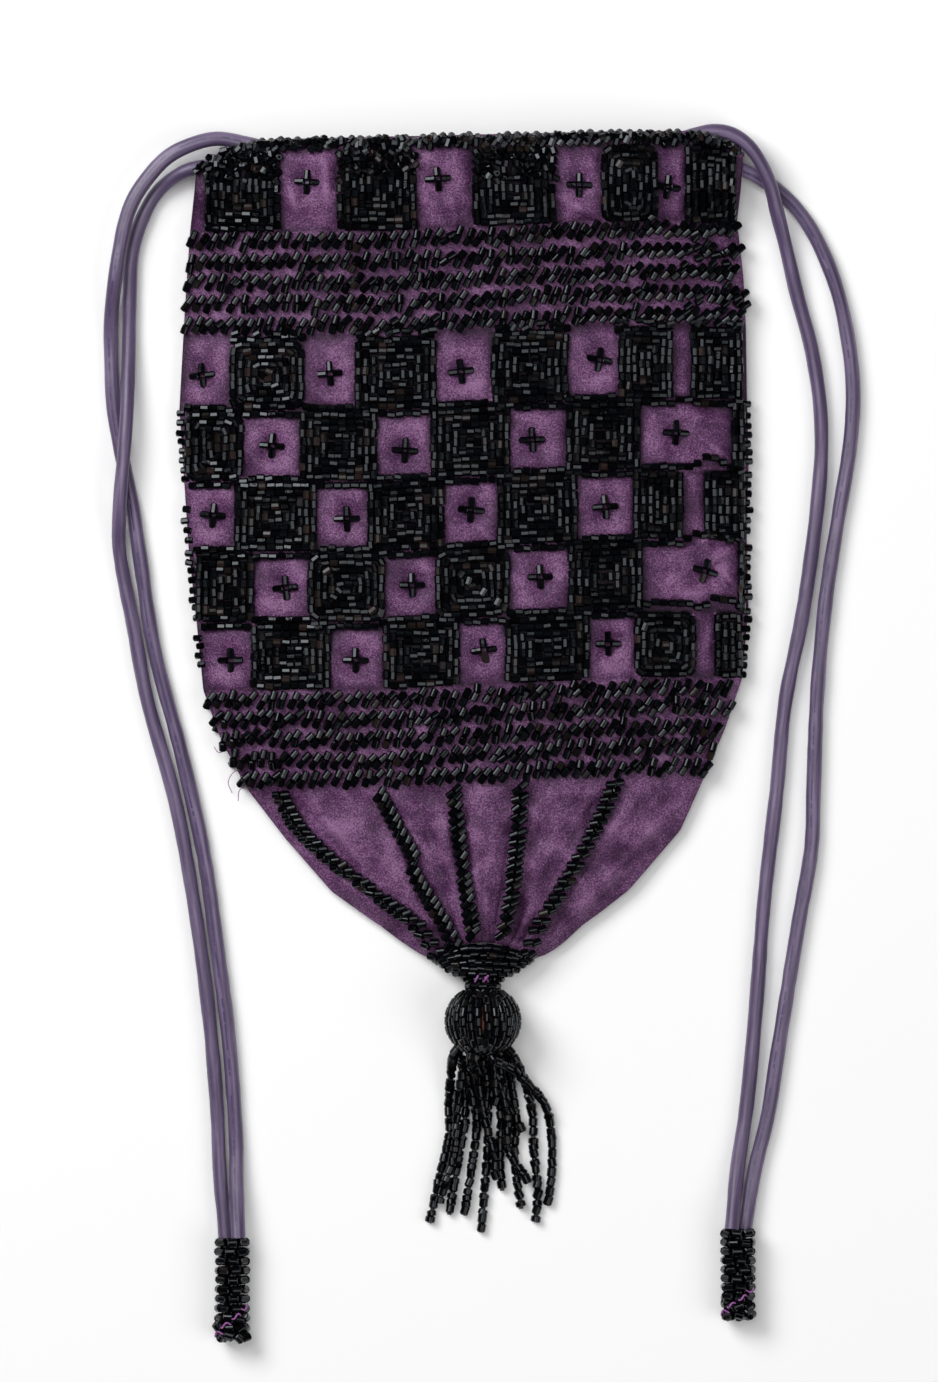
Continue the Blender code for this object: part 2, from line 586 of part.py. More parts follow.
def checker_row(name, index, base, steps, collection, cutters, beads, pitch):
    """One row of blocks hanging from its line of beads, which has no pitch where it only bends."""
    height = max(step[1] for step in steps)
    top = row_top(index)
    bottom = top - CHECK_HEIGHT
    if index == 0:
        top -= RIM_ROW_WIDTH + ROW_GAP
        bottom = UPPER_BAND_TOP_Y
    line_y = top - LINE_WIDTH / 2
    bm = bmesh.new()
    centre = row_points(line_y, BEAD / 2, pitch) if pitch else bend_points(line_y, BEAD / 2)
    strip(bm, centre, LINE_WIDTH, height, base)
    row = finish(bm, name, collection, beads)
    blocks = []
    for left, right in BLOCK_ROWS[index]:
        low_limit = side_x((top + bottom) / 2, -1) + BEAD / 2
        high_limit = side_x((top + bottom) / 2, 1) - BEAD / 2
        bm = bmesh.new()
        block(bm, max(left * MM, low_limit), min(right * MM, high_limit), bottom + ROW_GAP,
              line_y + LINE_WIDTH * 0.2, base, steps)
        blocks.append(finish(bm, name + "_block", cutters, beads))
    union(row, blocks)
    return laid(row)


def band(name, top, bottom, base, collection, beads, pitch):
    """Five slanted rows, one below another."""
    spacing = (top - bottom) / BAND_ROWS
    for number in range(BAND_ROWS):
        y = top - spacing * (number + 0.5)
        bm = bmesh.new()
        width = min(SLANT_WIDTH, spacing - SEAM_GAP - 2 * BAND_SWING)
        strip(bm, row_points(y, BEAD / 2, pitch), width, FRONT_BEAD, base, BAND_SWING, BEAD_DIP)
        laid(finish(bm, f"{name}_{number + 1}", collection, beads))


def rim_beads(side, base, height, pitch, collection, beads):
    """Beads lashed over the edge of the silk."""
    bm = bmesh.new()
    y = RIM_Y - RIM_ROW_WIDTH / 2
    strip(bm, row_points(y, BEAD / 2, pitch), RIM_ROW_WIDTH, height, base, 0.0, BEAD_DIP)
    return laid(finish(bm, f"{side}_rim_beads", collection, beads))


def back_band(name, top, bottom, collection, beads):
    """The five slanted rows of the back as one solid, ridged on the side that it lies on."""
    bm = bmesh.new()
    spacing = (top - bottom - SEAM_GAP) / BAND_ROWS
    levels = [top - SEAM_GAP - spacing * step / 2 for step in range(BAND_ROWS * 2 + 1)]
    rows = [bend_points(y, BEAD / 2) for y in levels]
    rings = []
    for column in zip(*rows):
        ring = [(x, y, 0.0 if step % 2 else BEAD * BACK_RIDGE) for step, (x, y) in enumerate(column)]
        ring += [(*column[-1], BEAD), (*column[0], BEAD)]
        rings.append(ring)
    loft(bm, rings)
    return laid(finish(bm, name, collection, beads))


def base_lines(side, base, height, collection, beads, spread):
    for number, points in enumerate(BASE_LINES):
        route = [Vector((x * MM, BASE_TOP_Y - share * BASE_HEIGHT, 0)) for x, share in points]
        line = smooth_route(route, spread)
        bm = bmesh.new()
        tooth = SLANT_SWING if side == "front" else 0.0
        strip(bm, [(p.x, p.y) for p in line], BASE_LINE_WIDTH, height, base, tooth, BEAD_DIP)
        laid(finish(bm, f"{side}_base_line_{number + 1}", collection, beads))


def casing(name, heights, collection, cloth):
    """A strip of silk inside the mouth that holds the drawcords against the panel."""
    half = CASING_HALF_LENGTH
    cells = PANEL_CELLS // 2
    bm = bmesh.new()
    rings = []
    for step in range(cells + 1):
        x = -half + 2 * half * step / cells
        low, high = heights(x)
        ring = [(x, CASING_LOW_Y, low), (x, CASING_HIGH_Y, low)]
        ring += [(x, CASING_HIGH_Y, high), (x, CASING_LOW_Y, high)]
        rings.append(ring)
    loft(bm, rings)
    return finish(bm, name, collection, cloth)


def casings(collection, cloth):
    def front_strip(x):
        high = front_height(x, CASED_CORD_LEVEL_Y) - FRONT_CASING_DEPTH
        return high - CASING_STRIP, high

    def back_strip(x):
        return BACK_CASING_LOW, BACK_CASING_TOP

    casing("front_casing", front_strip, collection, cloth)
    casing("back_casing", back_strip, collection, cloth)


def turned(profile, sides, centre, squash=1.0, ribs=0, rib_depth=0.0):
    """Rings about an axis along Y: profile gives radius and y, from high y to low y."""
    rings = []
    for radius, y in profile:
        ring = []
        for side in range(sides):
            angle = 2 * math.pi * side / sides
            r = radius - (rib_depth * min(1.0, radius / (2 * rib_depth)) if ribs and side % 2 else 0.0)
            ring.append((centre.x + r * math.cos(angle), y, centre.z + r * squash * math.sin(angle)))
        rings.append(ring)
    return rings


def collar(collection, beads):
    """Flattened cup of bead rows round the gathered point of the silk."""
    rows = COLLAR_ROWS * 2
    profile = []
    for step in range(rows + 1):
        share = step / rows
        radius = COLLAR_RADIUS + (COLLAR_LOW_RADIUS - COLLAR_RADIUS) * share ** 1.5
        ridge = COLLAR_RIDGE if step % 2 else 0.0
        profile.append((radius - ridge, COLLAR_TOP_Y - COLLAR_LENGTH * share))
    centre = Vector((AXIS_X, 0, COLLAR_HEIGHT / 2))
    bm = bmesh.new()
    rings = turned(profile, 16, centre, COLLAR_HEIGHT / 2 / COLLAR_RADIUS)
    for step, ring in enumerate(rings):
        arc = COLLAR_ARC * (1 - step / rows) / COLLAR_RADIUS ** 2
        rings[step] = [(x, y - arc * (x - AXIS_X) ** 2, z) for x, y, z in ring]
    loft(bm, rings)
    return finish(bm, "collar", collection, beads)


def neck_knot(collection, thread):
    half = KNOT_LENGTH / 2
    profile = [(KNOT_RADIUS * 0.6, KNOT_Y + half), (KNOT_RADIUS, KNOT_Y + half * 0.4)]
    profile += [(KNOT_RADIUS, KNOT_Y - half * 0.4), (KNOT_RADIUS * 0.6, KNOT_Y - half)]
    bm = bmesh.new()
    loft(bm, turned(profile, 8, Vector((AXIS_X, 0, KNOT_Z))))
    return finish(bm, "neck_knot", collection, thread)


def ball_profile(radius, bore, steps):
    """Half circle from pole to pole, cut by a bore along its axis."""
    first = math.asin(bore / radius)
    angles = [first + (math.pi - 2 * first) * step / steps for step in range(steps + 1)]
    return [(radius * math.sin(angle), BALL_Y + radius * math.cos(angle)) for angle in angles]


def ball(collection, beads, wood):
    """A drilled wooden core inside a cover of bead strings from pole to pole."""
    centre = Vector((AXIS_X, 0, BALL_Z))
    bm = bmesh.new()
    outside = turned(ball_profile(BALL_RADIUS, CORE_BORE_RADIUS, 7), BALL_RIBS * 2, centre,
                     ribs=BALL_RIBS, rib_depth=BALL_RIB_DEPTH)
    inside = turned(ball_profile(CORE_RADIUS + CORE_GAP, CORE_BORE_RADIUS, 4), BALL_RIBS * 2, centre)
    ring_solid(bm, outside + inside[::-1])
    finish(bm, "ball_bead_cover", collection, beads)
    bm = bmesh.new()
    outer = turned(ball_profile(CORE_RADIUS, CORE_BORE_RADIUS, 6), 12, centre)
    ring_solid(bm, outer)
    return finish(bm, "ball_core", collection, wood)


def ring_solid(bm, rings):
    """Skin rings that close on themselves into a drilled solid."""
    loops = loft(bm, rings, close_ends=False)
    first = loops[-1]
    second = loops[0]
    for index in range(len(first)):
        after = (index + 1) % len(first)
        bm.faces.new((first[index], first[after], second[after], second[index]))


def smooth_route(points, count):
    """Even points on one smooth curve through a route's own points."""
    ends = [points[0] * 2 - points[1]] + list(points) + [points[-1] * 2 - points[-2]]
    fine = []
    for p0, p1, p2, p3 in zip(ends, ends[1:], ends[2:], ends[3:]):
        for step in range(12):
            t = step / 12
            bend = (p0 * -1 + p1 * 3 - p2 * 3 + p3) * t ** 3
            curve = (p0 * 2 - p1 * 5 + p2 * 4 - p3) * t ** 2
            fine.append((bend + curve + (p2 - p0) * t + p1 * 2) / 2)
    fine.append(points[-1].copy())
    lengths = [0.0]
    for first, second in zip(fine, fine[1:]):
        lengths.append(lengths[-1] + (second - first).length)
    even = []
    place = 0
    for step in range(count):
        target = lengths[-1] * step / (count - 1)
        while place < len(fine) - 2 and lengths[place + 1] < target:
            place += 1
        share = (target - lengths[place]) / (lengths[place + 1] - lengths[place])
        even.append(fine[place].lerp(fine[place + 1], share))
    return even


def tube(name, points, radii, sides_resolution, collection, finish_material):
    """A filled curve along points, with a radius at each."""
    data = bpy.data.curves.new(name, "CURVE")
    data.dimensions = "3D"
    data.bevel_depth = 1.0
    data.bevel_resolution = sides_resolution
    data.use_fill_caps = True
    spline = data.splines.new("POLY")
    spline.points.add(len(points) - 1)
    for target, point, radius in zip(spline.points, points, radii):
        target.co = (*point, 1.0)
        target.radius = radius
    data.materials.append(finish_material)
    made = bpy.data.objects.new(name, data)
    collection.objects.link(made)
    return made


def strand_route(polar, around, route):
    """A string's points: straight out of the ball, then through its own points."""
    tilt = math.radians(polar)
    turn = math.radians(around)
    outward = Vector((math.sin(tilt) * math.cos(turn), -math.cos(tilt), math.sin(tilt) * math.sin(turn)))
    centre = Vector((AXIS_X, BALL_Y, BALL_Z))
    seat = centre + outward * (BALL_RADIUS + SEAM_GAP)
    rest = [Vector((x * MM, BALL_Y - below * MM, z * MM)) for x, below, z in route]
    return [seat, seat + outward * STRAND_LEAD] + rest


def tassel(collection, beads):
    for number, (polar, around, route) in enumerate(STRANDS):
        points = smooth_route(strand_route(polar, around, route), STRAND_POINT_COUNT)
        radius = STRAND_DIAMETER / 2
        radii = [radius if index % 2 == 0 else radius * STRAND_BEAD_SHRINK for index in range(len(points))]
        for point in points:
            point.z = max(point.z, radius)
        tube(f"tassel_string_{number + 1}", points, radii, TASSEL_TUBE_RESOLUTION, collection, beads)


def drawcord_route(side, from_front, from_back, high_on_front):
    """The whole route of a cord: tip, free side, front casing, far turn, back casing, free side, tip."""
    front_free = [Vector((x * MM, RIM_Y - below * MM, z * MM)) for x, below, z in from_front]
    back_free = [Vector((x * MM, RIM_Y - below * MM, z * MM)) for x, below, z in from_back]
    front_y = CASED_HIGH_Y if high_on_front else CASED_LOW_Y
    back_y = CASED_LOW_Y if high_on_front else CASED_HIGH_Y
    depth = SILK + SEAM_GAP + CASED_CORD_DIAMETER / 2
    hidden = []
    shares = (1.1, 0.9, 0.45, 0.0, -0.45, -0.9, -1.1)
    for share in shares:
        x = side * CASING_HALF_LENGTH * share
        hidden.append(Vector((x, front_y, front_height(x, CASED_CORD_LEVEL_Y) - depth)))
    far = -side * (CASING_HALF_LENGTH + TURN_REACH)
    middle_z = (hidden[-1].z + CASED_BACK_Z) / 2
    hidden.append(Vector((far, (front_y + back_y) / 2, middle_z)))
    for share in reversed(shares):
        hidden.append(Vector((side * CASING_HALF_LENGTH * share, back_y, CASED_BACK_Z)))
    return front_free[::-1] + hidden + back_free


def drawcord(name, side, from_front, from_back, high_on_front, collection, silk):
    route = drawcord_route(side, from_front, from_back, high_on_front)
    points = smooth_route(route, CORD_POINT_COUNT)
    radii = []
    for point in points:
        cased = abs(point.x) < CASING_HALF_LENGTH + TURN_REACH + MM and point.y > CASING_LOW_Y
        radii.append(CASED_CORD_DIAMETER / 2 if cased else CORD_DIAMETER / 2)
        point.z = max(point.z, radii[-1])
    return tube(name, points, radii, CORD_TUBE_RESOLUTION, collection, silk)


def cord_tip(name, place, length, collection, beads):
    """Beads wound in rows round the joined cord ends."""
    rows = max(2, round(length / TIP_ROW)) * 2
    centre = Vector((place[0], 0, TIP_RADIUS))
    profile = []
    for step in range(rows + 1):
        radius = TIP_RADIUS - (0.0 if step % 2 else TIP_RIDGE)
        profile.append((radius, place[1] - SEAM_GAP - length * step / rows))
    bm = bmesh.new()
    loft(bm, turned(profile, 8, centre))
    return finish(bm, name, collection, beads)


def build():
    remove_scene_objects()
    parts = new_collection("beaded_pouch")
    cutters = new_collection("cutters")
    silk = material("silk", PURPLE, 0.45)
    cord_silk = material("cord_silk", LAVENDER, 0.5)
    cloth = material("lining_cloth", PURPLE, 0.8)
    beads = material("bead_glass", BLACK, 0.12)
    thread = material("thread", PURPLE, 0.7)
    wood = material("wood", TERRACOTTA, 0.7)

    front_panel(parts, cutters, silk)
    back_panel(parts, silk)
    lining(parts, cloth)
    casings(parts, cloth)
    rim_beads("front", front_base, FRONT_BEAD, RIM_PITCH, parts, beads)
    rim_beads("back", back_base, BEAD, BACK_PITCH, parts, beads)
    for index in range(len(BLOCK_ROWS)):
        checker_row(f"front_checker_row_{index}", index, front_base, FRONT_STEPS, parts, cutters, beads,
                    LINE_PITCH)
        checker_row(f"back_checker_row_{index}", index, back_base, BACK_STEPS, parts, cutters, beads,
                    BACK_PITCH if index == 0 else 0.0)
    bands = (("upper_band", UPPER_BAND_TOP_Y, CHECKER_TOP_Y), ("lower_band", LOWER_BAND_TOP_Y, BASE_TOP_Y))
    for name, top, bottom in bands:
        band(f"front_{name}_row", top, bottom, front_base, parts, beads, SLANT_PITCH)
        back_band(f"back_{name}", top, bottom, parts, beads)
    base_lines("front", front_base, FRONT_BEAD, parts, beads, 12)
    base_lines("back", back_base, BEAD, parts, beads, 5)
    collar(parts, beads)
    neck_knot(parts, thread)
    ball(parts, beads, wood)
    tassel(parts, beads)
    drawcord("left_drawcord", -1, LEFT_OUTER_SIDE, LEFT_INNER_SIDE, True, parts, cord_silk)
    drawcord("right_drawcord", 1, RIGHT_OUTER_SIDE, RIGHT_INNER_SIDE, False, parts, cord_silk)
    cord_tip("left_cord_tip", TIP_LEFT, TIP_LENGTH_LEFT, parts, beads)
    cord_tip("right_cord_tip", TIP_RIGHT, TIP_LENGTH_RIGHT, parts, beads)


build()
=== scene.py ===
"""Looks of the beaded silk drawstring pouch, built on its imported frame.

Every glass bead is a small tube with its own hole, laid out row by row as it is stitched. Layout
points are x, y on the pouch before its rows climb and its rim droops. Sizes are in millimetres, and a
few functions carry layout points to the crowned front or to the flat back.
"""
import math

import bpy
import numpy as np
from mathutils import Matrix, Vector


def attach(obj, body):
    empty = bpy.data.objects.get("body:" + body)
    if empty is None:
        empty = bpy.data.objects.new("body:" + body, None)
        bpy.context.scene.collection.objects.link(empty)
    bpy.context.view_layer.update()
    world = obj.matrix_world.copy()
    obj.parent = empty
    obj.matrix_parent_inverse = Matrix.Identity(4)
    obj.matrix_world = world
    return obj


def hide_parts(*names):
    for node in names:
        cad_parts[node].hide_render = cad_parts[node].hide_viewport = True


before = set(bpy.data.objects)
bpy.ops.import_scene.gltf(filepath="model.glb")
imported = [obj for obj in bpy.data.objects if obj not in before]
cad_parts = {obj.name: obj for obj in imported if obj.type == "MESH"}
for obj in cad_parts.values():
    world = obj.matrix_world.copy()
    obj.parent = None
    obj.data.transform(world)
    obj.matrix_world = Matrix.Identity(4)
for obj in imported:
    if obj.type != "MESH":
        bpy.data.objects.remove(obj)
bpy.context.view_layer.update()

MM = 0.001

# Beads
BEAD_RADIUS = 0.92
BEAD_LENGTH = 2.12
BEAD_PITCH = 2.2
RING_PITCH = 1.86
BLOCK_BEAD_RADIUS = 0.99
LINE_STEP = 0.9
BACK_BEAD_Z = 1.0
CROSS_BEAD_LENGTH = 2.7
EDGE_BEAD_LENGTH = 2.2
EDGE_BEAD_Z = 3.4

# Slanted stitches of two beads: half their reach, and how far each bead is tipped to arch over
STITCH_BEAD_RADIUS = 1.02
STITCH_BEAD_LENGTH = 2.45
STITCH_PITCH = 2.72
STITCH_TURN = 60.0
STITCH_REACH = 1.16
STITCH_ARCH = 12
ROPE_BEAD_LENGTH = 2.4
ROPE_REACH = 1.1

# Pouch levels
RIM_Y = 142.6
UPPER_BAND_TOP_Y = 118.0
CHECKER_TOP_Y = 90.2
CHECK_HEIGHT = 18.35
LOWER_BAND_TOP_Y = -1.6
BASE_TOP_Y = -27.0
COLLAR_TOP_Y = -67.6
DROOP_FROM_Y = 128.0
AXIS_X = 4.9
BAND_ROWS = 5

# Heights over the surface that the pouch lies on
SILK = 0.5
MOUTH_CROWN = 14.8
BELLY_CROWN = 12.7
TIP_CROWN = 8.7
SEAM_EDGE = 3.6
CORNER_EDGE = 8.3
SECTION_POWER = 2.6
BACK_SILK_TOP = 2.8
TURN_UNDER = 0.28

# Cloth: rows and columns of points in each grid, and the lining's place
FRONT_GRID = (214, 168)
BACK_GRID = (128, 90)
LINING_GRID = (60, 40)
CASING_GRID = (16, 90)
LINING_INSET = 9.0
LINING_TOP_GAP = 2.3
LINING_LOW_Y = -53.5
THIN_CLOTH = 0.3

# Sides at each level: y, left x, right x, crown height, edge height
SIDE_LEVELS = np.array([
    (142.6, -69.2, 72.4, MOUTH_CROWN, CORNER_EDGE),
    (128.0, -69.8, 71.6, MOUTH_CROWN, CORNER_EDGE),
    (118.0, -71.0, 70.8, (MOUTH_CROWN + BELLY_CROWN) / 2, SEAM_EDGE),
    (104.0, -72.0, 72.4, BELLY_CROWN, SEAM_EDGE),
    (90.2, -72.8, 73.1, BELLY_CROWN, SEAM_EDGE),
    (71.85, -73.8, 73.4, BELLY_CROWN, SEAM_EDGE),
    (53.5, -72.6, 73.8, BELLY_CROWN, SEAM_EDGE),
    (35.15, -71.4, 73.3, BELLY_CROWN, SEAM_EDGE),
    (16.8, -69.4, 73.8, BELLY_CROWN, SEAM_EDGE),
    (-1.6, -67.6, 72.1, BELLY_CROWN, SEAM_EDGE),
    (-14.6, -62.9, 67.7, BELLY_CROWN, SEAM_EDGE),
    (-27.0, -56.4, 62.4, BELLY_CROWN - 1.15, SEAM_EDGE),
    (-40.0, -46.4, 56.0, BELLY_CROWN - 2.0, SEAM_EDGE),
    (-54.0, -34.2, 42.8, BELLY_CROWN - 3.0, SEAM_EDGE),
    (-61.6, -23.6, 32.2, BELLY_CROWN - 3.6, SEAM_EDGE),
    (-64.8, -14.2, 24.4, BELLY_CROWN - 3.8, SEAM_EDGE),
    (-67.2, -8.6, 18.4, TIP_CROWN, SEAM_EDGE),
])
RIM_LINE = np.array([
    (-69.2, 134.4), (-62.0, 139.2), (-50.0, 141.4), (0.0, 142.4),
    (40.0, 143.4), (60.0, 143.6), (67.0, 141.6), (72.4, 138.2),
])
TIP_ARC_FROM_Y = -61.6
TIP_ARC = 4.2
TIP_ARC_POWER = 1.6
TIP_ARC_RADIUS = 13.6

# How far the rows climb towards the right: x, rise
RISE = np.array([(-75.0, 0.0), (-20.0, 0.0), (20.0, 2.1), (45.0, 3.2), (75.0, 3.0)])
RISE_WEIGHT = np.array([(142.6, 0.0), (128.0, 0.0), (118.0, 0.9), (35.15, 1.0), (-27.0, 1.0),
                        (-59.5, 0.0), (-67.6, 0.0)])

# Checker blocks of each row, left x and right x
BLOCK_ROWS = [
    [(-67.2, -47.3), (-33.0, -12.2), (2.1, 23.7), (35.4, 50.3), (57.0, 70.4)],
    [(-60.8, -41.3), (-28.3, -7.0), (6.8, 26.8), (39.8, 54.1), (58.8, 72.4)],
    [(-73.2, -56.9), (-42.6, -22.4), (-8.8, 12.0), (26.3, 45.8), (69.2, 73.4)],
    [(-59.5, -38.0), (-25.0, -4.9), (8.6, 29.6), (43.7, 56.9), (62.1, 73.4)],
    [(-70.6, -54.3), (-40.6, -20.5), (-7.5, 12.0), (27.0, 46.5), (71.0, 73.6)],
    [(-55.1, -34.3), (-21.1, -1.0), (10.7, 32.8), (43.9, 60.1), (64.7, 73.4)],
]

# Crosses: x, y on the pouch as it lies
CROSSES = [
    (-40.8, 130.3), (-6.8, 131.0), (29.9, 129.5), (52.9, 129.0),
    (-68.1, 80.3), (-34.8, 80.6), (-0.8, 81.1), (35.1, 84.2),
    (-49.9, 61.9), (-15.3, 60.6), (17.7, 63.4), (55.1, 65.3),
    (-65.3, 43.9), (-30.4, 42.9), (1.8, 45.2), (36.7, 46.0),
    (-46.3, 25.0), (-13.5, 25.7), (19.8, 27.8), (62.7, 29.4),
    (-60.8, 6.2), (-28.1, 6.2), (5.2, 8.8), (37.4, 10.4),
]

# Lines on the plain base, from the lower band to the collar
BASE_LINES = [
    [(-47.6, -28.2), (-42.6, -37.2), (-34.6, -45.2), (-26.8, -51.2), (-17.6, -58.2), (-11.6, -62.4),
     (-6.6, -67.0)],
    [(-22.0, -28.2), (-17.2, -37.2), (-13.0, -45.0), (-13.2, -48.2), (-9.0, -55.8), (-4.6, -62.6),
     (-1.6, -67.8)],
    [(-2.6, -28.2), (-1.8, -36.4), (-0.4, -46.8), (0.6, -54.0), (1.6, -60.0), (2.7, -66.6)],
    [(14.6, -28.2), (14.2, -36.6), (13.4, -46.0), (12.4, -55.0), (11.2, -60.4), (9.6, -66.4)],
    [(39.2, -28.2), (34.8, -37.6), (29.9, -46.0), (24.6, -54.6), (20.6, -60.4), (15.2, -68.4)],
]

# Turn of the stitches of each line, from +X
BASE_LINE_SLANTS = (8, 62, 44, 27, 7)

# Painted shade on the silk under the beads over it and along a cell's edge, and how far that painted shade
# fades
COVERED_PAINTED_SHADE = -7.0
EDGE_SHADE = 2.6
EDGE_SHADE_FADE = 1.4

# How far the line over a row is drawn up: x and rise
LINE_HUMPS = {
    3: [(56.0, 0.0), (63.0, 3.0), (67.0, 1.5), (71.0, 0.0)],
    4: [(56.7, 0.0), (58.7, 1.1), (61.6, 2.7), (64.0, 2.2), (71.0, 0.8)],
    5: [(42.0, 0.0), (49.0, 1.4), (56.0, 1.2), (60.6, 1.0), (65.0, 2.6), (69.0, 2.2), (73.0, 1.0)],
}

# Beads that stick out past the silk: side, highest y, lowest y
EDGE_COMBS = [(-1, 70.5, 53.0), (-1, 45.5, 36.0), (-1, 34.0, 15.5), (-1, 12.0, 4.0),
              (1, 70.0, 55.0), (1, 51.5, 36.5), (1, 32.5, 19.5), (1, 16.0, -1.0)]

# Collar, ball and tassel
COLLAR_LENGTH = 7.4
COLLAR_RADIUS = 13.6
COLLAR_LOW_RADIUS = 9.1
COLLAR_HALF_HEIGHT = 5.2
COLLAR_ROWS = 4
COLLAR_PITCH = 2.1
CROWN_RADIUS = 3.9
CROWN_Y = -78.4
CROWN_BEADS = 12
KNOT_Y = -76.45
KNOT_THREAD_RADIUS = 0.27
BALL_RADIUS = 9.6
BALL_Y = -87.5
BALL_Z = 9.6
BALL_STRINGS = 26
BALL_BEAD_RADIUS = 1.06
BALL_BEAD_LENGTH = 2.3

# Rings of beads below the collar: half width, half height, y, number of beads
LIP_RING = (7.2, 4.7, -75.3, 17)
NECK_RING = (4.8, 3.9, -76.7, 12)

# Threads of the knot: low x, high x, z
KNOT_THREADS = [(2.9, 3.7, 10.5), (5.1, 6.3, 10.7), (6.3, 5.3, 10.3), (4.2, 4.9, 9.2), (5.3, 4.7, 8.4)]

# Strings of the tassel: degrees from the ball's lower pole and round it, and the way as it lies
STRANDS = [
    (42, -170, [(-3.2, -99.6, 5.4), (-4.0, -109.9, 1.2), (-3.8, -117.0, 1.0), (-6.2, -127.6, 1.0),
                (-9.2, -141.2, 1.0)]),
    (42, -145, [(-0.4, -101.0, 2.8), (0.3, -113.0, 1.0), (-1.4, -123.0, 1.0), (-4.0, -139.0, 1.0)]),
    (42, -118, [(2.8, -103.0, 1.4), (3.4, -114.0, 1.0), (2.2, -124.5, 1.0), (0.0, -138.4, 1.0)]),
    (42, -90, [(6.0, -105.0, 1.0), (6.2, -119.0, 1.0), (5.4, -131.0, 1.0), (4.4, -143.4, 1.0)]),
    (42, -62, [(9.0, -103.0, 1.4), (9.6, -114.0, 1.0), (9.4, -124.0, 1.0), (10.0, -132.6, 1.0)]),
    (42, -35, [(12.0, -102.0, 2.6), (13.6, -114.0, 1.0), (13.2, -124.0, 1.0), (15.0, -137.4, 1.0)]),
    (42, -10, [(15.4, -102.0, 4.6), (17.8, -112.0, 1.2), (18.2, -122.0, 1.0), (19.2, -132.0, 1.0),
               (18.6, -140.4, 1.0)]),
    (24, 45, [(13.6, -101.0, 8.6), (20.8, -109.0, 3.4), (22.8, -118.0, 1.0), (22.8, -128.0, 1.0),
              (21.8, -135.6, 1.0)]),
    (24, -140, [(-0.6, -102.0, 5.8), (-1.8, -110.0, 3.8), (-2.4, -121.0, 3.5), (-6.4, -135.0, 3.5)]),
    (24, 135, [(3.4, -103.0, 6.6), (5.0, -112.0, 3.8), (7.8, -122.0, 3.4), (8.2, -129.4, 3.4)]),
    (24, -50, [(8.8, -103.0, 4.8), (11.4, -112.0, 3.5), (11.6, -121.0, 3.4), (16.6, -129.4, 3.4)]),
]
STRAND_LEAD = 1.4
STRAND_BEAD_RADIUS = 1.2
STRAND_GAP = 0.3
SHORT_BEAD_LENGTH = 1.7
LONG_BEAD_LENGTH = 2.6
STRAND_THREAD_RADIUS = 0.62

# Short ends of the tassel's strings, just below the ball
SHORT_ENDS = [
    [(1.4, -97.2, 6.4), (3.2, -103.0, 5.0), (3.9, -108.4, 3.7), (3.9, -112.5, 3.4)],
    [(4.6, -97.4, 6.0), (5.7, -103.0, 4.6), (5.7, -108.4, 3.7), (5.2, -112.0, 3.4)],
    [(7.4, -97.3, 6.6), (7.9, -103.0, 5.0), (8.4, -108.0, 3.8), (7.0, -110.4, 3.4)],
    [(-0.6, -96.9, 6.2), (1.2, -103.9, 4.4), (2.5, -109.3, 3.6), (3.2, -111.6, 3.4)],
    [(9.4, -97.0, 5.6), (10.0, -103.3, 4.4), (10.6, -108.4, 3.7), (12.9, -111.6, 3.4), (15.1, -116.0, 3.4)],
]

# Broken thread ends at the lower left
LOOSE_THREADS = [
    [(-57.5, -22.0, 4.6), (-60.0, -23.0, 3.4), (-61.4, -25.6, 2.2), (-60.4, -28.4, 1.6)],
    [(-56.0, -26.0, 4.4), (-58.4, -27.6, 3.0), (-58.8, -30.4, 1.8)],
    [(-61.0, -17.0, 4.2), (-63.8, -17.8, 3.2), (-65.0, -16.4, 2.6)],
]
LOOSE_THREAD_RADIUS = 0.11

# Cords
CORD_RADIUS = 1.9
CORD_POINTS = 620
CORD_SIDES = 24
SEAM_PLACE = 0.7
SEAM_WIDTH = 0.05
SEAM_CREASE = 0.16
CASED_CORD_RADIUS = 1.2
CASING_HALF_LENGTH = 40.0
CASING_LOW_Y = 127.0
CASING_HIGH_Y = 140.0
CASED_HIGH_Y = 137.6
CASED_LOW_Y = 130.0
CASED_MIDDLE_Y = 133.8
CASED_BACK_Z = 4.3
CASED_FRONT_DEPTH = 2.0
FRONT_CASING_DEPTH = 3.5
BACK_CASING_LOW = 5.8
CASING_STRIP = 0.4
TURN_REACH = 10.0
LEFT_OUTER_SIDE = [
    (-50.0, 139.2, 8.8), (-57.5, 140.6, 7.4), (-63.4, 141.9, 7.0), (-70.0, 140.6, 6.9), (-77.5, 136.8, 6.6),
    (-84.2, 129.0, 6.4), (-87.4, 122.6, 6.3), (-89.2, 115.0, 6.1), (-90.6, 106.0, 6.0), (-91.8, 96.0, 3.4),
    (-91.9, 86.0, 1.95), (-91.2, 72.0, 1.95), (-89.2, 60.0, 1.95), (-86.6, 48.0, 1.95), (-84.4, 33.3, 1.95),
    (-80.6, 8.8, 1.95), (-73.8, -17.2, 1.95), (-68.0, -43.2, 1.95), (-64.2, -69.2, 1.95),
    (-61.2, -93.0, 1.95), (-59.4, -117.5, 2.1), (-59.2, -130.0, 4.0), (-58.6, -144.3, 6.6),
]
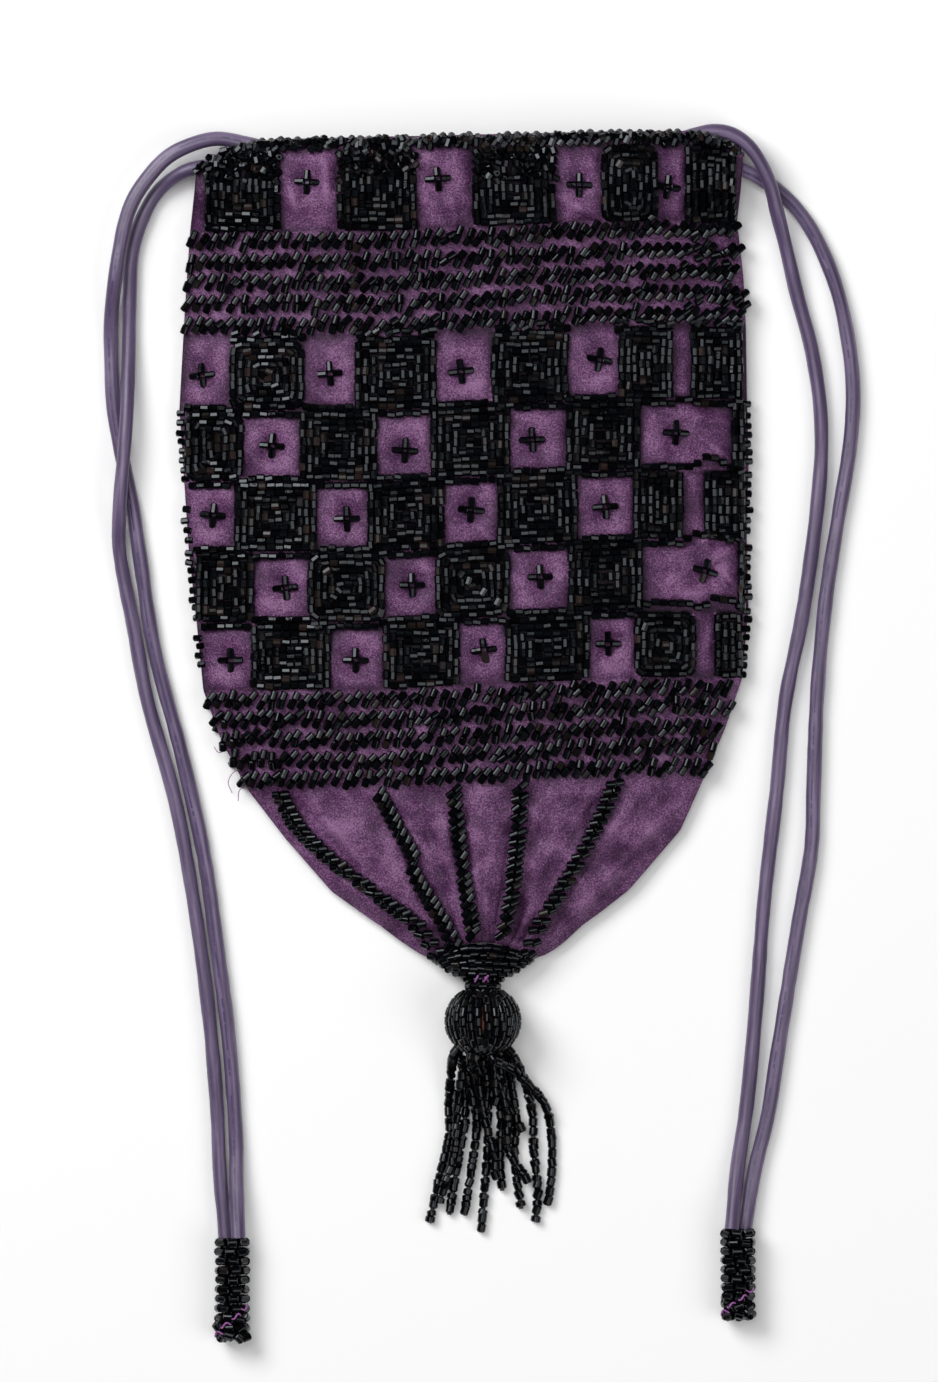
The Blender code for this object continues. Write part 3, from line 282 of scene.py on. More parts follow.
LEFT_INNER_SIDE = [
    (-54.0, 133.6, 5.0), (-60.0, 134.6, 5.0), (-66.0, 134.8, 5.3), (-72.6, 133.5, 5.1), (-79.6, 128.4, 2.3),
    (-84.0, 120.6, 1.95), (-86.4, 112.0, 1.95), (-87.0, 102.0, 1.95), (-87.2, 88.0, 2.6),
    (-87.6, 72.0, 5.0), (-88.4, 60.0, 6.2), (-89.2, 51.0, 6.2), (-89.6, 43.0, 5.0), (-89.6, 34.0, 2.4),
    (-86.0, 15.0, 1.95),
    (-82.4, -4.2, 1.95), (-75.2, -30.2, 1.95), (-70.4, -56.2, 1.95), (-66.8, -82.2, 1.95),
    (-64.4, -108.2, 1.95), (-63.6, -126.0, 2.2), (-62.0, -144.3, 3.2),
]
RIGHT_OUTER_SIDE = [
    (49.0, 130.2, 9.8), (56.0, 132.2, 7.4), (62.0, 134.6, 5.4), (68.0, 135.0, 5.4), (73.6, 133.5, 5.2),
    (81.0, 129.0, 2.3), (88.1, 121.9, 1.95), (94.1, 111.0, 1.95), (98.5, 97.5, 1.95), (101.2, 79.6, 1.95),
    (100.6, 63.0, 1.95), (97.4, 43.0, 1.95), (94.2, 22.0, 1.95), (92.0, -2.0, 1.95), (91.0, -28.1, 1.95),
    (90.4, -43.2, 1.95), (87.0, -63.0, 1.95), (81.8, -95.2, 1.95), (79.2, -112.0, 1.95),
    (75.8, -126.0, 2.1), (73.0, -142.0, 3.2),
]
RIGHT_INNER_SIDE = [
    (50.0, 139.4, 5.4), (57.5, 142.0, 6.4), (64.2, 143.8, 6.8), (70.0, 142.9, 7.0), (75.2, 138.6, 7.6),
    (79.2, 131.0, 7.5), (81.6, 122.0, 5.6), (84.2, 112.0, 3.2), (86.8, 101.0, 2.0), (90.7, 86.3, 1.95),
    (93.0, 68.6, 1.95), (92.3, 49.0, 1.95), (88.4, 19.5, 1.95), (83.7, -4.4, 1.95), (81.4, -28.1, 1.95),
    (78.2, -56.2, 1.95), (76.2, -82.2, 1.95), (73.8, -108.2, 1.95), (71.2, -126.0, 2.6),
    (69.6, -142.0, 6.6),
]

# Tips of the cords: x, y and length of each
TIP_LEFT = (-60.3, -144.9, 26.0)
TIP_RIGHT = (71.3, -142.6, 22.5)
TIP_RADIUS = 4.7
TIP_BEAD_RADIUS = 1.15
TIP_BEAD_LENGTH = 2.5
TIP_ROW_PITCH = 2.35
TIP_ROW_BEADS = 8
TIP_SEAT = 0.9
TIP_TANGLED_FROM = 0.62
TIP_TANGLED_BEADS = 20
TIP_THREADS = 4
TIP_THREAD_RADIUS = 0.24

# Folds of the silk as it lies: x, y, half width, half height, turn in degrees, rise
FOLDS = [
    (68.0, 68.0, 7.0, 1.0, -12, 0.9), (66.0, 61.0, 5.0, 1.0, -38, 0.8), (60.0, 58.5, 8.0, 0.9, 8, 0.6),
    (68.0, 34.0, 4.0, 1.2, 35, 0.9), (70.5, 26.0, 4.6, 1.2, -52, 1.3), (58.0, 23.5, 9.0, 1.0, 3, 0.7),
    (56.0, 33.5, 6.0, 1.1, 28, 0.6), (63.0, 36.5, 1.2, 4.0, 8, 0.6), (31.5, 84.5, 1.0, 4.0, 30, 0.6),
    (39.0, 78.5, 4.5, 1.0, -30, 0.6), (-36.0, 131.0, 0.9, 9.0, 4, 0.8), (-31.5, 128.0, 1.0, 8.0, -12, 0.7),
    (-44.0, 125.0, 1.0, 5.0, 18, 0.5), (-10.0, 126.0, 0.9, 7.0, -4, 0.7), (-3.5, 124.0, 1.0, 6.0, 10, 0.6),
    (30.0, 123.5, 5.5, 1.0, -26, 0.7), (24.5, 135.0, 0.9, 4.5, 8, 0.5), (33.5, 134.5, 1.0, 4.0, -10, 0.5),
    (56.0, 134.0, 0.9, 5.0, -14, 0.6), (51.0, 120.5, 1.0, 4.0, 12, 0.5),
]

# Camera and lamps: name, place in metres, side length in metres, power in watts
IMAGE_HEIGHT_MM = 360.1
CAMERA_CENTRE = (1.3, -1.8)
CAMERA_DISTANCE = 3.0
SENSOR_LONG_SIDE = 36.0
LAMPS = (
    ("key", (-0.75, 0.65, 1.1), 0.75, 16.5),
    ("fill", (0.9, -0.5, 1.1), 1.0, 6.5),
    ("overhead", (-0.3, 0.3, 3.4), 2.0, 41.0),
)
FLOOR_REACH = 4.0
FLOOR_DROP = 0.0002

random = np.random.default_rng(41)


def level_value(y, column):
    """A column of the side levels at y, for numbers or arrays."""
    return np.interp(y, SIDE_LEVELS[::-1, 0], SIDE_LEVELS[::-1, column])


def front_height(x, y):
    """Height of the front silk at layout point x, y, without its wrinkles."""
    left = level_value(y, 1)
    right = level_value(y, 2)
    across = np.clip(np.abs((2 * x - left - right) / (right - left)), 0, 1)
    edge = level_value(y, 4)
    return edge + (level_value(y, 3) - edge) * (1 - across ** SECTION_POWER)


def as_it_lies(x, y):
    """Where layout point x, y lies: rows climb to the right, the rim droops, the tip is arched."""
    rise = np.interp(x, RISE[:, 0], RISE[:, 1]) * np.interp(-y, -RISE_WEIGHT[:, 0], RISE_WEIGHT[:, 1])
    rim = np.interp(x, RIM_LINE[:, 0], RIM_LINE[:, 1])
    rim_share = np.clip((y - DROOP_FROM_Y) / (RIM_Y - DROOP_FROM_Y), 0, None)
    arc_share = np.clip((TIP_ARC_FROM_Y - y) / (TIP_ARC_FROM_Y - SIDE_LEVELS[-1, 0]), 0, 1)
    arc = TIP_ARC * ((x - AXIS_X) / TIP_ARC_RADIUS) ** 2
    return y + rise + rim_share * (rim - RIM_Y) - arc_share ** TIP_ARC_POWER * arc


def laid_out(x, y):
    """Layout y of a point seen at x, y."""
    guess = np.array(y, float)
    for step in range(6):
        guess += y - as_it_lies(x, guess)
    return guess


LATTICE = np.random.default_rng(7).random((256, 256))


def noise(x, y):
    """Smooth noise from -1 to 1, one hump for each unit."""
    x0 = np.floor(x).astype(int)
    y0 = np.floor(y).astype(int)
    fx = x - x0
    fy = y - y0
    fx = fx * fx * (3 - 2 * fx)
    fy = fy * fy * (3 - 2 * fy)
    a = LATTICE[x0 % 256, y0 % 256]
    b = LATTICE[(x0 + 1) % 256, y0 % 256]
    c = LATTICE[x0 % 256, (y0 + 1) % 256]
    d = LATTICE[(x0 + 1) % 256, (y0 + 1) % 256]
    return 2 * ((a * (1 - fx) + b * fx) * (1 - fy) + (c * (1 - fx) + d * fx) * fy) - 1


def bump_at(x, y, at_x, at_y, wide, tall, turn=0.0):
    """Smooth hump of height 1 at a place, wide and tall before it is turned by an angle in degrees."""
    angle = math.radians(turn)
    dx = (x - at_x) * math.cos(angle) + (y - at_y) * math.sin(angle)
    dy = (y - at_y) * math.cos(angle) - (x - at_x) * math.sin(angle)
    return np.exp(-(dx / wide) ** 2 - (dy / tall) ** 2)


def wrinkles(x, y):
    """Rise of the front silk over its smooth shape, at a point as it lies."""
    made = 0.3 * noise(x / 3.4, y / 4.6) + 0.1 * noise(x / 1.5 + 40, y / 1.9)
    for cross_x, cross_y in CROSSES:
        far = np.hypot(x - cross_x, y - cross_y)
        spokes = np.cos(np.arctan2(y - cross_y, x - cross_x) * 7 + cross_x)
        made = made - 1.3 * np.exp(-(far / 2.8) ** 2) + 0.7 * np.exp(-((far - 6.0) / 2.6) ** 2)
        made = made + 0.16 * spokes * np.exp(-((far - 4.4) / 1.9) ** 2)
    for at_x, at_y, wide, tall, turn, rise in FOLDS:
        made = made + 1.4 * rise * bump_at(x, y, at_x, at_y, wide, tall, turn)
    by_rim = np.clip((y - 117) / 4, 0, 1)
    made = made + by_rim * (0.5 * noise(x / 2.1 + 9 + y / 30, y / 12) + 0.25 * noise(x / 3.6 + 2, y / 7))
    in_base = np.clip((BASE_TOP_Y + 1 - y) / 4, 0, 1)
    turn = np.arctan2(x - AXIS_X, y + 84.0)
    made = made + in_base * (1.0 * noise(turn * 13 + 3, np.hypot(x - AXIS_X, y + 84) / 22)
                             + 0.5 * noise(turn * 30 + 9, np.hypot(x - AXIS_X, y + 84) / 14)
                             + 0.8 * noise(x / 8 + 3, y / 5.5 + 5) + 0.4 * noise(x / 4.2 + 31, y / 3.4 + 8))
    for line in BASE_LINES:
        points = np.array(line)
        line_x = np.interp(-y, -points[:, 1], points[:, 0])
        made = made - in_base * 0.8 * np.exp(-((x - line_x) / 3.2) ** 2)
    left = level_value(y, 1)
    right = level_value(y, 2)
    inside = np.clip(np.minimum(x - left, right - x) / 5, 0, 1)
    return made * inside


def reach_along(points):
    """Way travelled from the first of the points to each of them."""
    steps = np.linalg.norm(np.diff(points, axis=0), axis=1)
    return np.concatenate([[0], np.cumsum(steps)])


def at_reach(spot, reach, points):
    """The point that lies a way along points."""
    return np.array([np.interp(spot, reach, points[:, axis]) for axis in range(points.shape[1])])


def spoke(angle):
    """Direction at an angle round an axis along Y, from +X to +Z."""
    return np.array([math.cos(angle), 0.0, math.sin(angle)])


def mesh_object(name, verts, faces, finish, smooth=True):
    """An object of vertices in millimetres and faces of one corner count."""
    verts = np.asarray(verts, float) * MM
    faces = np.asarray(faces, np.int32)
    mesh = bpy.data.meshes.new(name)
    mesh.vertices.add(len(verts))
    mesh.vertices.foreach_set("co", verts.ravel())
    mesh.loops.add(faces.size)
    mesh.loops.foreach_set("vertex_index", faces.ravel())
    mesh.polygons.add(len(faces))
    mesh.polygons.foreach_set("loop_start", np.arange(0, faces.size, faces.shape[1], dtype=np.int32))
    mesh.polygons.foreach_set("use_smooth", np.broadcast_to(smooth, len(faces)))
    mesh.update(calc_edges=True)
    mesh.validate()
    mesh.materials.append(finish)
    made = bpy.data.objects.new(name, mesh)
    bpy.context.scene.collection.objects.link(made)
    return made


def grid_faces(rows, columns, wrap=False):
    """Four-cornered faces of a grid of points, row by row."""
    index = np.arange(rows * columns).reshape(rows, columns)
    right = np.roll(index, -1, axis=1) if wrap else index[:, 1:]
    left = index if wrap else index[:, :-1]
    return np.stack([left[:-1], left[1:], right[1:], right[:-1]], axis=-1).reshape(-1, 4)


def bead_shape(rings, sides):
    """A tube bead along X with a hole right through: its points and faces, ring by ring."""
    turn = np.arange(sides) * 2 * math.pi / sides
    points = [(along, r * math.cos(a), r * math.sin(a)) for along, r in rings for a in turn]
    index = np.arange(len(rings) * sides).reshape(len(rings), sides)
    index = np.vstack([index, index[:1]])
    beside = np.roll(index, -1, axis=1)
    faces = np.stack([index[:-1], index[1:], beside[1:], beside[:-1]], axis=-1).reshape(-1, 4)
    return np.array(points), faces, sides


# Beads with softened ends for the front, and plain ones for the back: along in lengths, radius in radii
CUT_BEAD = bead_shape([(-0.5, 0.36), (-0.5, 0.78), (-0.42, 1.0), (0.42, 1.0), (0.5, 0.78), (0.5, 0.36)], 8)
PLAIN_BEAD = bead_shape([(-0.5, 0.3), (-0.46, 1.0), (0.46, 1.0), (0.5, 0.3)], 6)
BEAD_SHAPES = {"front": CUT_BEAD, "back": PLAIN_BEAD}

# Beads with rounder ends for the strings of the tassel
STRING_BEAD = bead_shape([(-0.5, 0.4), (-0.5, 0.66), (-0.35, 1.0), (0.35, 1.0), (0.5, 0.66), (0.5, 0.4)], 8)

# The rings at either end of the long sides, in beads that have softened ends
ROUNDED_RINGS = (2, 3)


class Beads:
    """Beads that make up one piece: a centre, an axis and an outward direction for each."""

    def __init__(self, shape=CUT_BEAD):
        self.shape = shape
        self.centres = []
        self.axes = []
        self.normals = []
        self.lengths = []
        self.radii = []

    def add(self, centre, axis, normal, length=BEAD_LENGTH, radius=BEAD_RADIUS):
        self.centres.append(centre)
        self.axes.append(axis)
        self.normals.append(normal)
        self.lengths.append(length)
        self.radii.append(radius)

    def on_front(self, x, y, turn, lift=0.0, length=BEAD_LENGTH, tip=0.0, radius=BEAD_RADIUS):
        """A bead on the front at layout point x, y, turned from +X by an angle in degrees."""
        centre, axis, normal = front_place(x, y, turn, tip)
        self.add(centre + normal * (BEAD_RADIUS + lift), axis, normal, length, radius)

    def on_back(self, x, y, turn, lift=0.0, length=BEAD_LENGTH, tip=0.0, radius=BEAD_RADIUS):
        """A bead under the back at layout point x, y, flat on it and no thicker than the usual bead."""
        angle = math.radians(turn)
        axis = np.array([math.cos(angle), math.sin(angle), 0.0])
        centre = np.array([x, float(as_it_lies(x, y)), BACK_BEAD_Z + min(0.3, abs(lift))])
        self.add(centre, axis, np.array([0.0, 0.0, -1.0]), length, BEAD_RADIUS)

    def made(self, name, finish, nodes=(), body="pouch", rounded=False):
        """One object of all the beads, in place of CAD nodes, with its long sides shaded round or not."""
        corners, bead_faces, bead_sides = self.shape
        count = len(self.centres)
        centres = np.array(self.centres)
        axes = np.array(self.axes)
        axes /= np.linalg.norm(axes, axis=1, keepdims=True)
        normals = np.array(self.normals)
        sides = np.cross(normals, axes)
        sides /= np.linalg.norm(sides, axis=1, keepdims=True)
        ups = np.cross(axes, sides)
        roll = random.uniform(-0.4, 0.4, count)
        cos = np.cos(roll)[:, None]
        sin = np.sin(roll)[:, None]
        sides, ups = sides * cos + ups * sin, ups * cos - sides * sin
        lengths = np.array(self.lengths) * random.normal(1, 0.05, count).clip(0.85, 1.12)
        radii = np.array(self.radii) * random.normal(1, 0.035, count).clip(0.9, 1.05)
        points = (centres[:, None, :]
                  + axes[:, None, :] * (corners[None, :, 0:1] * lengths[:, None, None])
                  + sides[:, None, :] * (corners[None, :, 1:2] * radii[:, None, None])
                  + ups[:, None, :] * (corners[None, :, 2:3] * radii[:, None, None]))
        points[:, :, 2] = np.maximum(points[:, :, 2], 0.0)
        faces = (bead_faces[None] + (np.arange(count) * len(corners))[:, None, None]).reshape(-1, 4)
        long_sides = np.arange(len(bead_faces)) // bead_sides == ROUNDED_RINGS[0]
        smooth = np.tile(long_sides & rounded, count)
        piece = mesh_object(name, points.reshape(-1, 3), faces, finish, smooth)
        if rounded:
            ends = np.empty(2 * len(piece.data.edges), np.int32)
            piece.data.edges.foreach_get("vertices", ends)
            rings = (ends.reshape(-1, 2) % len(corners)) // bead_sides
            around = (rings[:, 0] == rings[:, 1]) & np.isin(rings[:, 0], ROUNDED_RINGS)
            sharp = piece.data.attributes.new("sharp_edge", "BOOLEAN", "EDGE")
            sharp.data.foreach_set("value", around)
        return dressed(piece, nodes, body)


def dressed(piece, nodes=(), body="pouch"):
    """Give a piece its body and hide the CAD nodes that it stands for."""
    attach(piece, body)
    if nodes:
        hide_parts(*nodes)
    return piece


def surface_point(x, y):
    """Layout point x, y on the smooth front silk."""
    return np.array([x, float(as_it_lies(x, y)), float(front_height(x, y))])


def front_place(x, y, turn, tip=0.0):
    """Point on the front silk, the direction of a bead there and the outward direction."""
    step = 0.6
    point = surface_point(x, y)
    inner_x = min(max(x, float(level_value(y, 1)) + step), float(level_value(y, 2)) - step)
    along = surface_point(inner_x + step, y) - surface_point(inner_x - step, y)
    up = surface_point(inner_x, y + step) - surface_point(inner_x, y - step)
    normal = np.cross(along, up)
    normal /= np.linalg.norm(normal)
    angle = math.radians(turn)
    flat = np.array([math.cos(angle), math.sin(angle), 0.0])
    axis = flat - normal * float(flat @ normal)
    axis /= np.linalg.norm(axis)
    lean = math.radians(tip)
    return point, axis * math.cos(lean) + normal * math.sin(lean), normal


def place_for(beads, side):
    """The call that puts a bead on one side of the pouch."""
    return beads.on_front if side == "front" else beads.on_back


def squared_ring(half_x, half_y):
    """Places and directions of beads along a square ring whose upright sides run its full height."""
    places = []
    tall = 2 * half_y + BEAD_RADIUS
    wide = 2 * half_x - 2 * BEAD_RADIUS
    for reach, turn, fixed in ((tall, 90, half_x), (wide, 0, half_y)):
        count = max(1, round(reach / BEAD_PITCH)) if reach > 0.6 * BEAD_PITCH else 0
        for end in (-1, 1):
            for number in range(count):
                along = (number + 0.5) / count * reach - reach / 2
                length = min(BEAD_LENGTH, 0.96 * reach / count)
                if turn:
                    places.append((end * fixed, along, turn, length))
                else:
                    places.append((along, end * fixed, turn, length))
    return places


def rounded_ring(half_x, half_y, power):
    """Places and directions of beads along a ring with rounded corners."""
    angle = np.linspace(0, 2 * math.pi, 241)
    x = half_x * np.sign(np.cos(angle)) * np.abs(np.cos(angle)) ** (2 / power)
    y = half_y * np.sign(np.sin(angle)) * np.abs(np.sin(angle)) ** (2 / power)
    reach = reach_along(np.stack([x, y], axis=1))
    count = max(3, round(reach[-1] / BEAD_PITCH))
    spots = (np.arange(count) + random.random()) / count * reach[-1] % reach[-1]
    ahead = (spots + 0.5) % reach[-1]
    behind = (spots - 0.5) % reach[-1]
    turn = np.degrees(np.arctan2(np.interp(ahead, reach, y) - np.interp(behind, reach, y),
                                 np.interp(ahead, reach, x) - np.interp(behind, reach, x)))
    return [(float(np.interp(spot, reach, x)), float(np.interp(spot, reach, y)), float(way), BEAD_LENGTH)
            for spot, way in zip(spots, turn)]


def ring_count(half):
    """How many rings, in halves, fill the way from a block's outer ring to its middle."""
    return max(1, round(2 * half / RING_PITCH)) / 2


def block(beads, side, left, right, low, high, messy_from=None):
    """Square block of beads stitched in rings round its middle, and tangled above a level."""
    put = place_for(beads, side)
    x = (left + right) / 2
    y = (low + high) / 2
    half_x = (right - left) / 2 - BEAD_RADIUS
    half_y = (high - low) / 2 - BEAD_RADIUS
    pitch_x = half_x / ring_count(half_x)
    pitch_y = half_y / ring_count(half_y)
    lean = random.normal(0, 1.2)
    bow = random.normal(0, 0.25)
    squared = random.random() < 0.8
    while min(half_x, half_y) > -0.1:
        if min(half_x, half_y) < 0.3:
            places = []
            upright = half_y > half_x
            reach = 2 * max(half_x, half_y) + BEAD_LENGTH
            count = max(1, round(reach / BEAD_PITCH))
            for number in range(count):
                along = (number + 0.5) / count * reach - reach / 2
                places.append((0.0, along, 90, BEAD_LENGTH) if upright else (along, 0.0, 0, BEAD_LENGTH))
        elif squared:
            places = squared_ring(half_x, half_y)
        else:
            places = rounded_ring(half_x, half_y, 8.0)
        for px, py, angle, length in places:
            at_x = x + px + bow * (py / 8) ** 2 + random.normal(0, 0.07)
            at_y = y + py + random.normal(0, 0.07)
            if messy_from is not None and at_y > messy_from - random.random() * 2:
                put(at_x + random.normal(0, 0.2), at_y + random.normal(0, 0.2), random.uniform(0, 180),
                    0.1 + random.random() * 0.4, length * random.uniform(0.75, 0.95), random.normal(0, 24),
                    STITCH_BEAD_RADIUS)
                if random.random() < 0.3:
                    put(at_x + random.normal(0, 0.9), at_y + random.normal(0, 0.9), random.uniform(0, 180),
                        0.9, 1.7, random.normal(0, 30))
                continue
            put(at_x, at_y, angle + lean + random.normal(0, 2.4), abs(random.normal(0, 0.06)),
                length * 1.03, 0.0, BLOCK_BEAD_RADIUS)
        half_x -= pitch_x
        half_y -= pitch_y


def row_limits(index):
    """Top and bottom of a checker row."""
    if index == 0:
        return RIM_Y - 3.2, UPPER_BAND_TOP_Y - 0.4
    top = CHECKER_TOP_Y - CHECK_HEIGHT * (index - 1)
    return top, top - CHECK_HEIGHT


def over_block(index, x):
    """Whether x lies in a block of a checker row."""
    if not 0 <= index < len(BLOCK_ROWS):
        return False
    return any(left <= x <= right for left, right in BLOCK_ROWS[index])


def checker_row(beads, side, index):
    """A row of blocks and the line of beads that it hangs from."""
    put = place_for(beads, side)
    top, bottom = row_limits(index)
    if index > 0:
        left = float(level_value(top, 1)) + 1.2
        right = float(level_value(top, 2)) - 1.2
        count = round((right - left) / BEAD_PITCH)
        for number in range(count):
            x = left + (right - left) * (number + 0.5) / count
            if index == 1 and not over_block(index, x):
                continue
            sag = 0.0
            if over_block(index - 1, x):
                sag -= LINE_STEP
            if over_block(index, x):
                sag += LINE_STEP
            if side == "front" and index in LINE_HUMPS:
                hump = np.array(LINE_HUMPS[index])
                sag += float(np.interp(x, hump[:, 0], hump[:, 1]))
            put(x, top - 1.0 + sag + random.normal(0, 0.12), random.normal(0, 5), 0.1, BEAD_LENGTH, 0.0,
                BLOCK_BEAD_RADIUS)
            if index == 1 and random.random() < 0.7:
                put(x + random.normal(0, 0.5), top + 0.9 + random.normal(0, 0.25),
                    random.normal(10, 22), 0.5)
        top -= 2.0 - LINE_STEP
    if 0 < index < len(BLOCK_ROWS) - 1:
        bottom -= LINE_STEP - 0.1
    for left, right in BLOCK_ROWS[index]:
        middle = (top + bottom) / 2
        left = max(left, float(level_value(middle, 1)) + 0.7)
        right = min(right, float(level_value(middle, 2)) - 0.7)
        messy = top - 7.0 if index == 0 and right < 30 else None
        block(beads, side, left, right, bottom + 0.1, top, messy)


def slanted_row(beads, side, y, pitch):
    """A row of short slanted stitches, two beads to each, which arch over the silk."""
    put = place_for(beads, side)
    left = float(level_value(y, 1)) + 0.9
    right = float(level_value(y, 2)) - 0.9
    x = left
    while x < right:
        flare = max(0.0, (x - 40.0) / 30.0) if y > 60 and side == "front" else 0.0
        turn = STITCH_TURN - 20 * flare + random.normal(0, 9)
        angle = math.radians(turn)
        reach = STITCH_REACH + random.normal(0, 0.05)
        middle_y = y + random.normal(0, 0.36)
        for end in (-1, 1):
            put(x + end * reach * math.cos(angle), middle_y + end * reach * math.sin(angle),
                turn + random.normal(0, 6), 0.12 + random.random() * 0.2, STITCH_BEAD_LENGTH,
                -end * STITCH_ARCH + random.normal(0, 5), STITCH_BEAD_RADIUS)
        if flare > 0.3 and random.random() < 0.5 * flare:
            put(x + 1.4, middle_y + 2.3 * random.choice((-1, 1)), turn - 6, 0.3, 2.2, 0.0,
                STITCH_BEAD_RADIUS)
        x += pitch * (1 - 0.14 * flare) + random.normal(0, 0.24)


def band(side, name, top, bottom, finish):
    """Slanted rows from a top to a bottom, each its own piece on the front and one piece on the back."""
    spacing = (top - bottom) / BAND_ROWS
    whole = Beads(PLAIN_BEAD)
    for number in range(BAND_ROWS):
        beads = Beads() if side == "front" else whole
        slanted_row(beads, side, top - spacing * (number + 0.5), STITCH_PITCH)
        if side == "front":
            beads.made(f"front_{name}_beads_{number + 1}", finish, [f"front_{name}_row_{number + 1}"],
                       rounded=True)
    if side == "back":
        whole.made(f"back_{name}_beads", finish, [f"back_{name}"])


def edge_combs(beads):
    """Beads that stick out past the silk, where the pattern runs round to the back."""
    for side, high, low in EDGE_COMBS:
        y = high
        while y > low:
            x = float(level_value(y, 1 if side < 0 else 2))
            point = np.array([x + side * random.normal(0.1, 0.2), float(as_it_lies(x, y)), EDGE_BEAD_Z])
            axis = np.array([side, random.normal(0, 0.08), -0.3])
            beads.add(point, axis, np.array([side * 0.3, 0.0, 1.0]), EDGE_BEAD_LENGTH)
            y -= 2.4 + random.normal(0, 0.25)


def cross(beads, x, y):
    """Four beads in a small cross, drawn into the silk."""
    lean = random.normal(0, 7)
    for turn in (0, 90, 180, 270):
        angle = math.radians(turn + lean)
        reach = 1.95 if turn in (0, 180) else 1.8
        at_x = x + reach * math.cos(angle)
        at_y = y + reach * math.sin(angle)
        centre, axis, normal = front_place(at_x, float(laid_out(at_x, at_y)), turn + lean, -12)
        sink = float(wrinkles(np.array(at_x), np.array(at_y)))
        beads.add(centre + normal * (BEAD_RADIUS * 0.75 + sink), axis, normal, CROSS_BEAD_LENGTH)


def rim(side, finish):
    """Beads lashed over the edge of the mouth in small clumps."""
    beads = Beads(BEAD_SHAPES[side])
    put = place_for(beads, side)
    x = -68.4
    while x < 71.8:
        turn = 58 + random.normal(0, 16)
        put(x - 0.4, RIM_Y - 2.5 + random.normal(0, 0.3), turn, 0.15 + random.random() * 0.3, 2.2,
            random.normal(0, 8), STITCH_BEAD_RADIUS)
        put(x + 0.8, RIM_Y - 1.3 + random.normal(0, 0.25), turn + random.normal(0, 26),
            0.25 + random.random() * 0.35, 2.1, random.normal(0, 14), STITCH_BEAD_RADIUS)
        edge = surface_point(x, RIM_Y)
        if side == "front":
            slope = np.array([math.cos(math.radians(turn)) * 0.8, 0.45, -0.75])
            beads.add(edge + np.array([0.3, -0.65 + random.normal(0, 0.25), 0.3]), slope,
                      np.array([0.0, 0.8, 0.6]), 2.1, STITCH_BEAD_RADIUS)
        if random.random() < 0.45:
            put(x + random.normal(0, 0.5), RIM_Y - 1.2 + random.normal(0, 0.5), random.uniform(0, 180),
                0.7 + random.random() * 0.4, 1.7, random.normal(0, 30), STITCH_BEAD_RADIUS)
        x += 2.45 + random.normal(0, 0.25)
    beads.made(f"{side}_rim_bead_stitches", finish, [f"{side}_rim_beads"])


def base_lines(side, finish):
    """Rope-like lines of short slanted stitches, two beads to each."""
    for number, (route, slant) in enumerate(zip(BASE_LINES, BASE_LINE_SLANTS)):
        beads = Beads(BEAD_SHAPES[side])
        put = place_for(beads, side)
        points = even_route([(x, y, 0.0) for x, y in route], 200)
        reach = reach_along(points)
        ways = np.gradient(points, axis=0)
        spot = 0.4
        while spot < reach[-1] - 0.2:
            x, y = (float(part) for part in at_reach(spot, reach, points)[:2])
            way_x, way_y = (float(part) for part in at_reach(spot, reach, ways)[:2])
            along = math.atan2(way_y, way_x)
            turn = slant + random.normal(0, 6)
            angle = math.radians(turn)
            lift = 0.1 + random.random() * 0.3
            for end in (-1, 1):
                put(x + end * ROPE_REACH * math.cos(angle), y + end * ROPE_REACH * math.sin(angle),
                    turn + random.normal(0, 4), lift, ROPE_BEAD_LENGTH,
                    -end * STITCH_ARCH + random.normal(0, 4), STITCH_BEAD_RADIUS)
            spot += float(np.clip(1.7 / abs(math.sin(angle - along)), 1.9, 2.7)) + random.normal(0, 0.1)
        beads.made(f"{side}_base_line_beads_{number + 1}", finish, [f"{side}_base_line_{number + 1}"],
                   rounded=side == "front")


def even_route(points, count):
    """Even points on one smooth curve through a route's own points."""
    points = np.array(points, float)
    ends = np.vstack([2 * points[0] - points[1], points, 2 * points[-1] - points[-2]])
    fine = []
    for p0, p1, p2, p3 in zip(ends, ends[1:], ends[2:], ends[3:]):
        for step in range(12):
            t = step / 12
            bend = (-p0 + 3 * p1 - 3 * p2 + p3) * t ** 3
            curve = (2 * p0 - 5 * p1 + 4 * p2 - p3) * t ** 2
            fine.append((bend + curve + (p2 - p0) * t + 2 * p1) / 2)
    fine.append(points[-1])
    fine = np.array(fine)
    reach = reach_along(fine)
    return at_reach(np.linspace(0, reach[-1], count), reach, fine).T


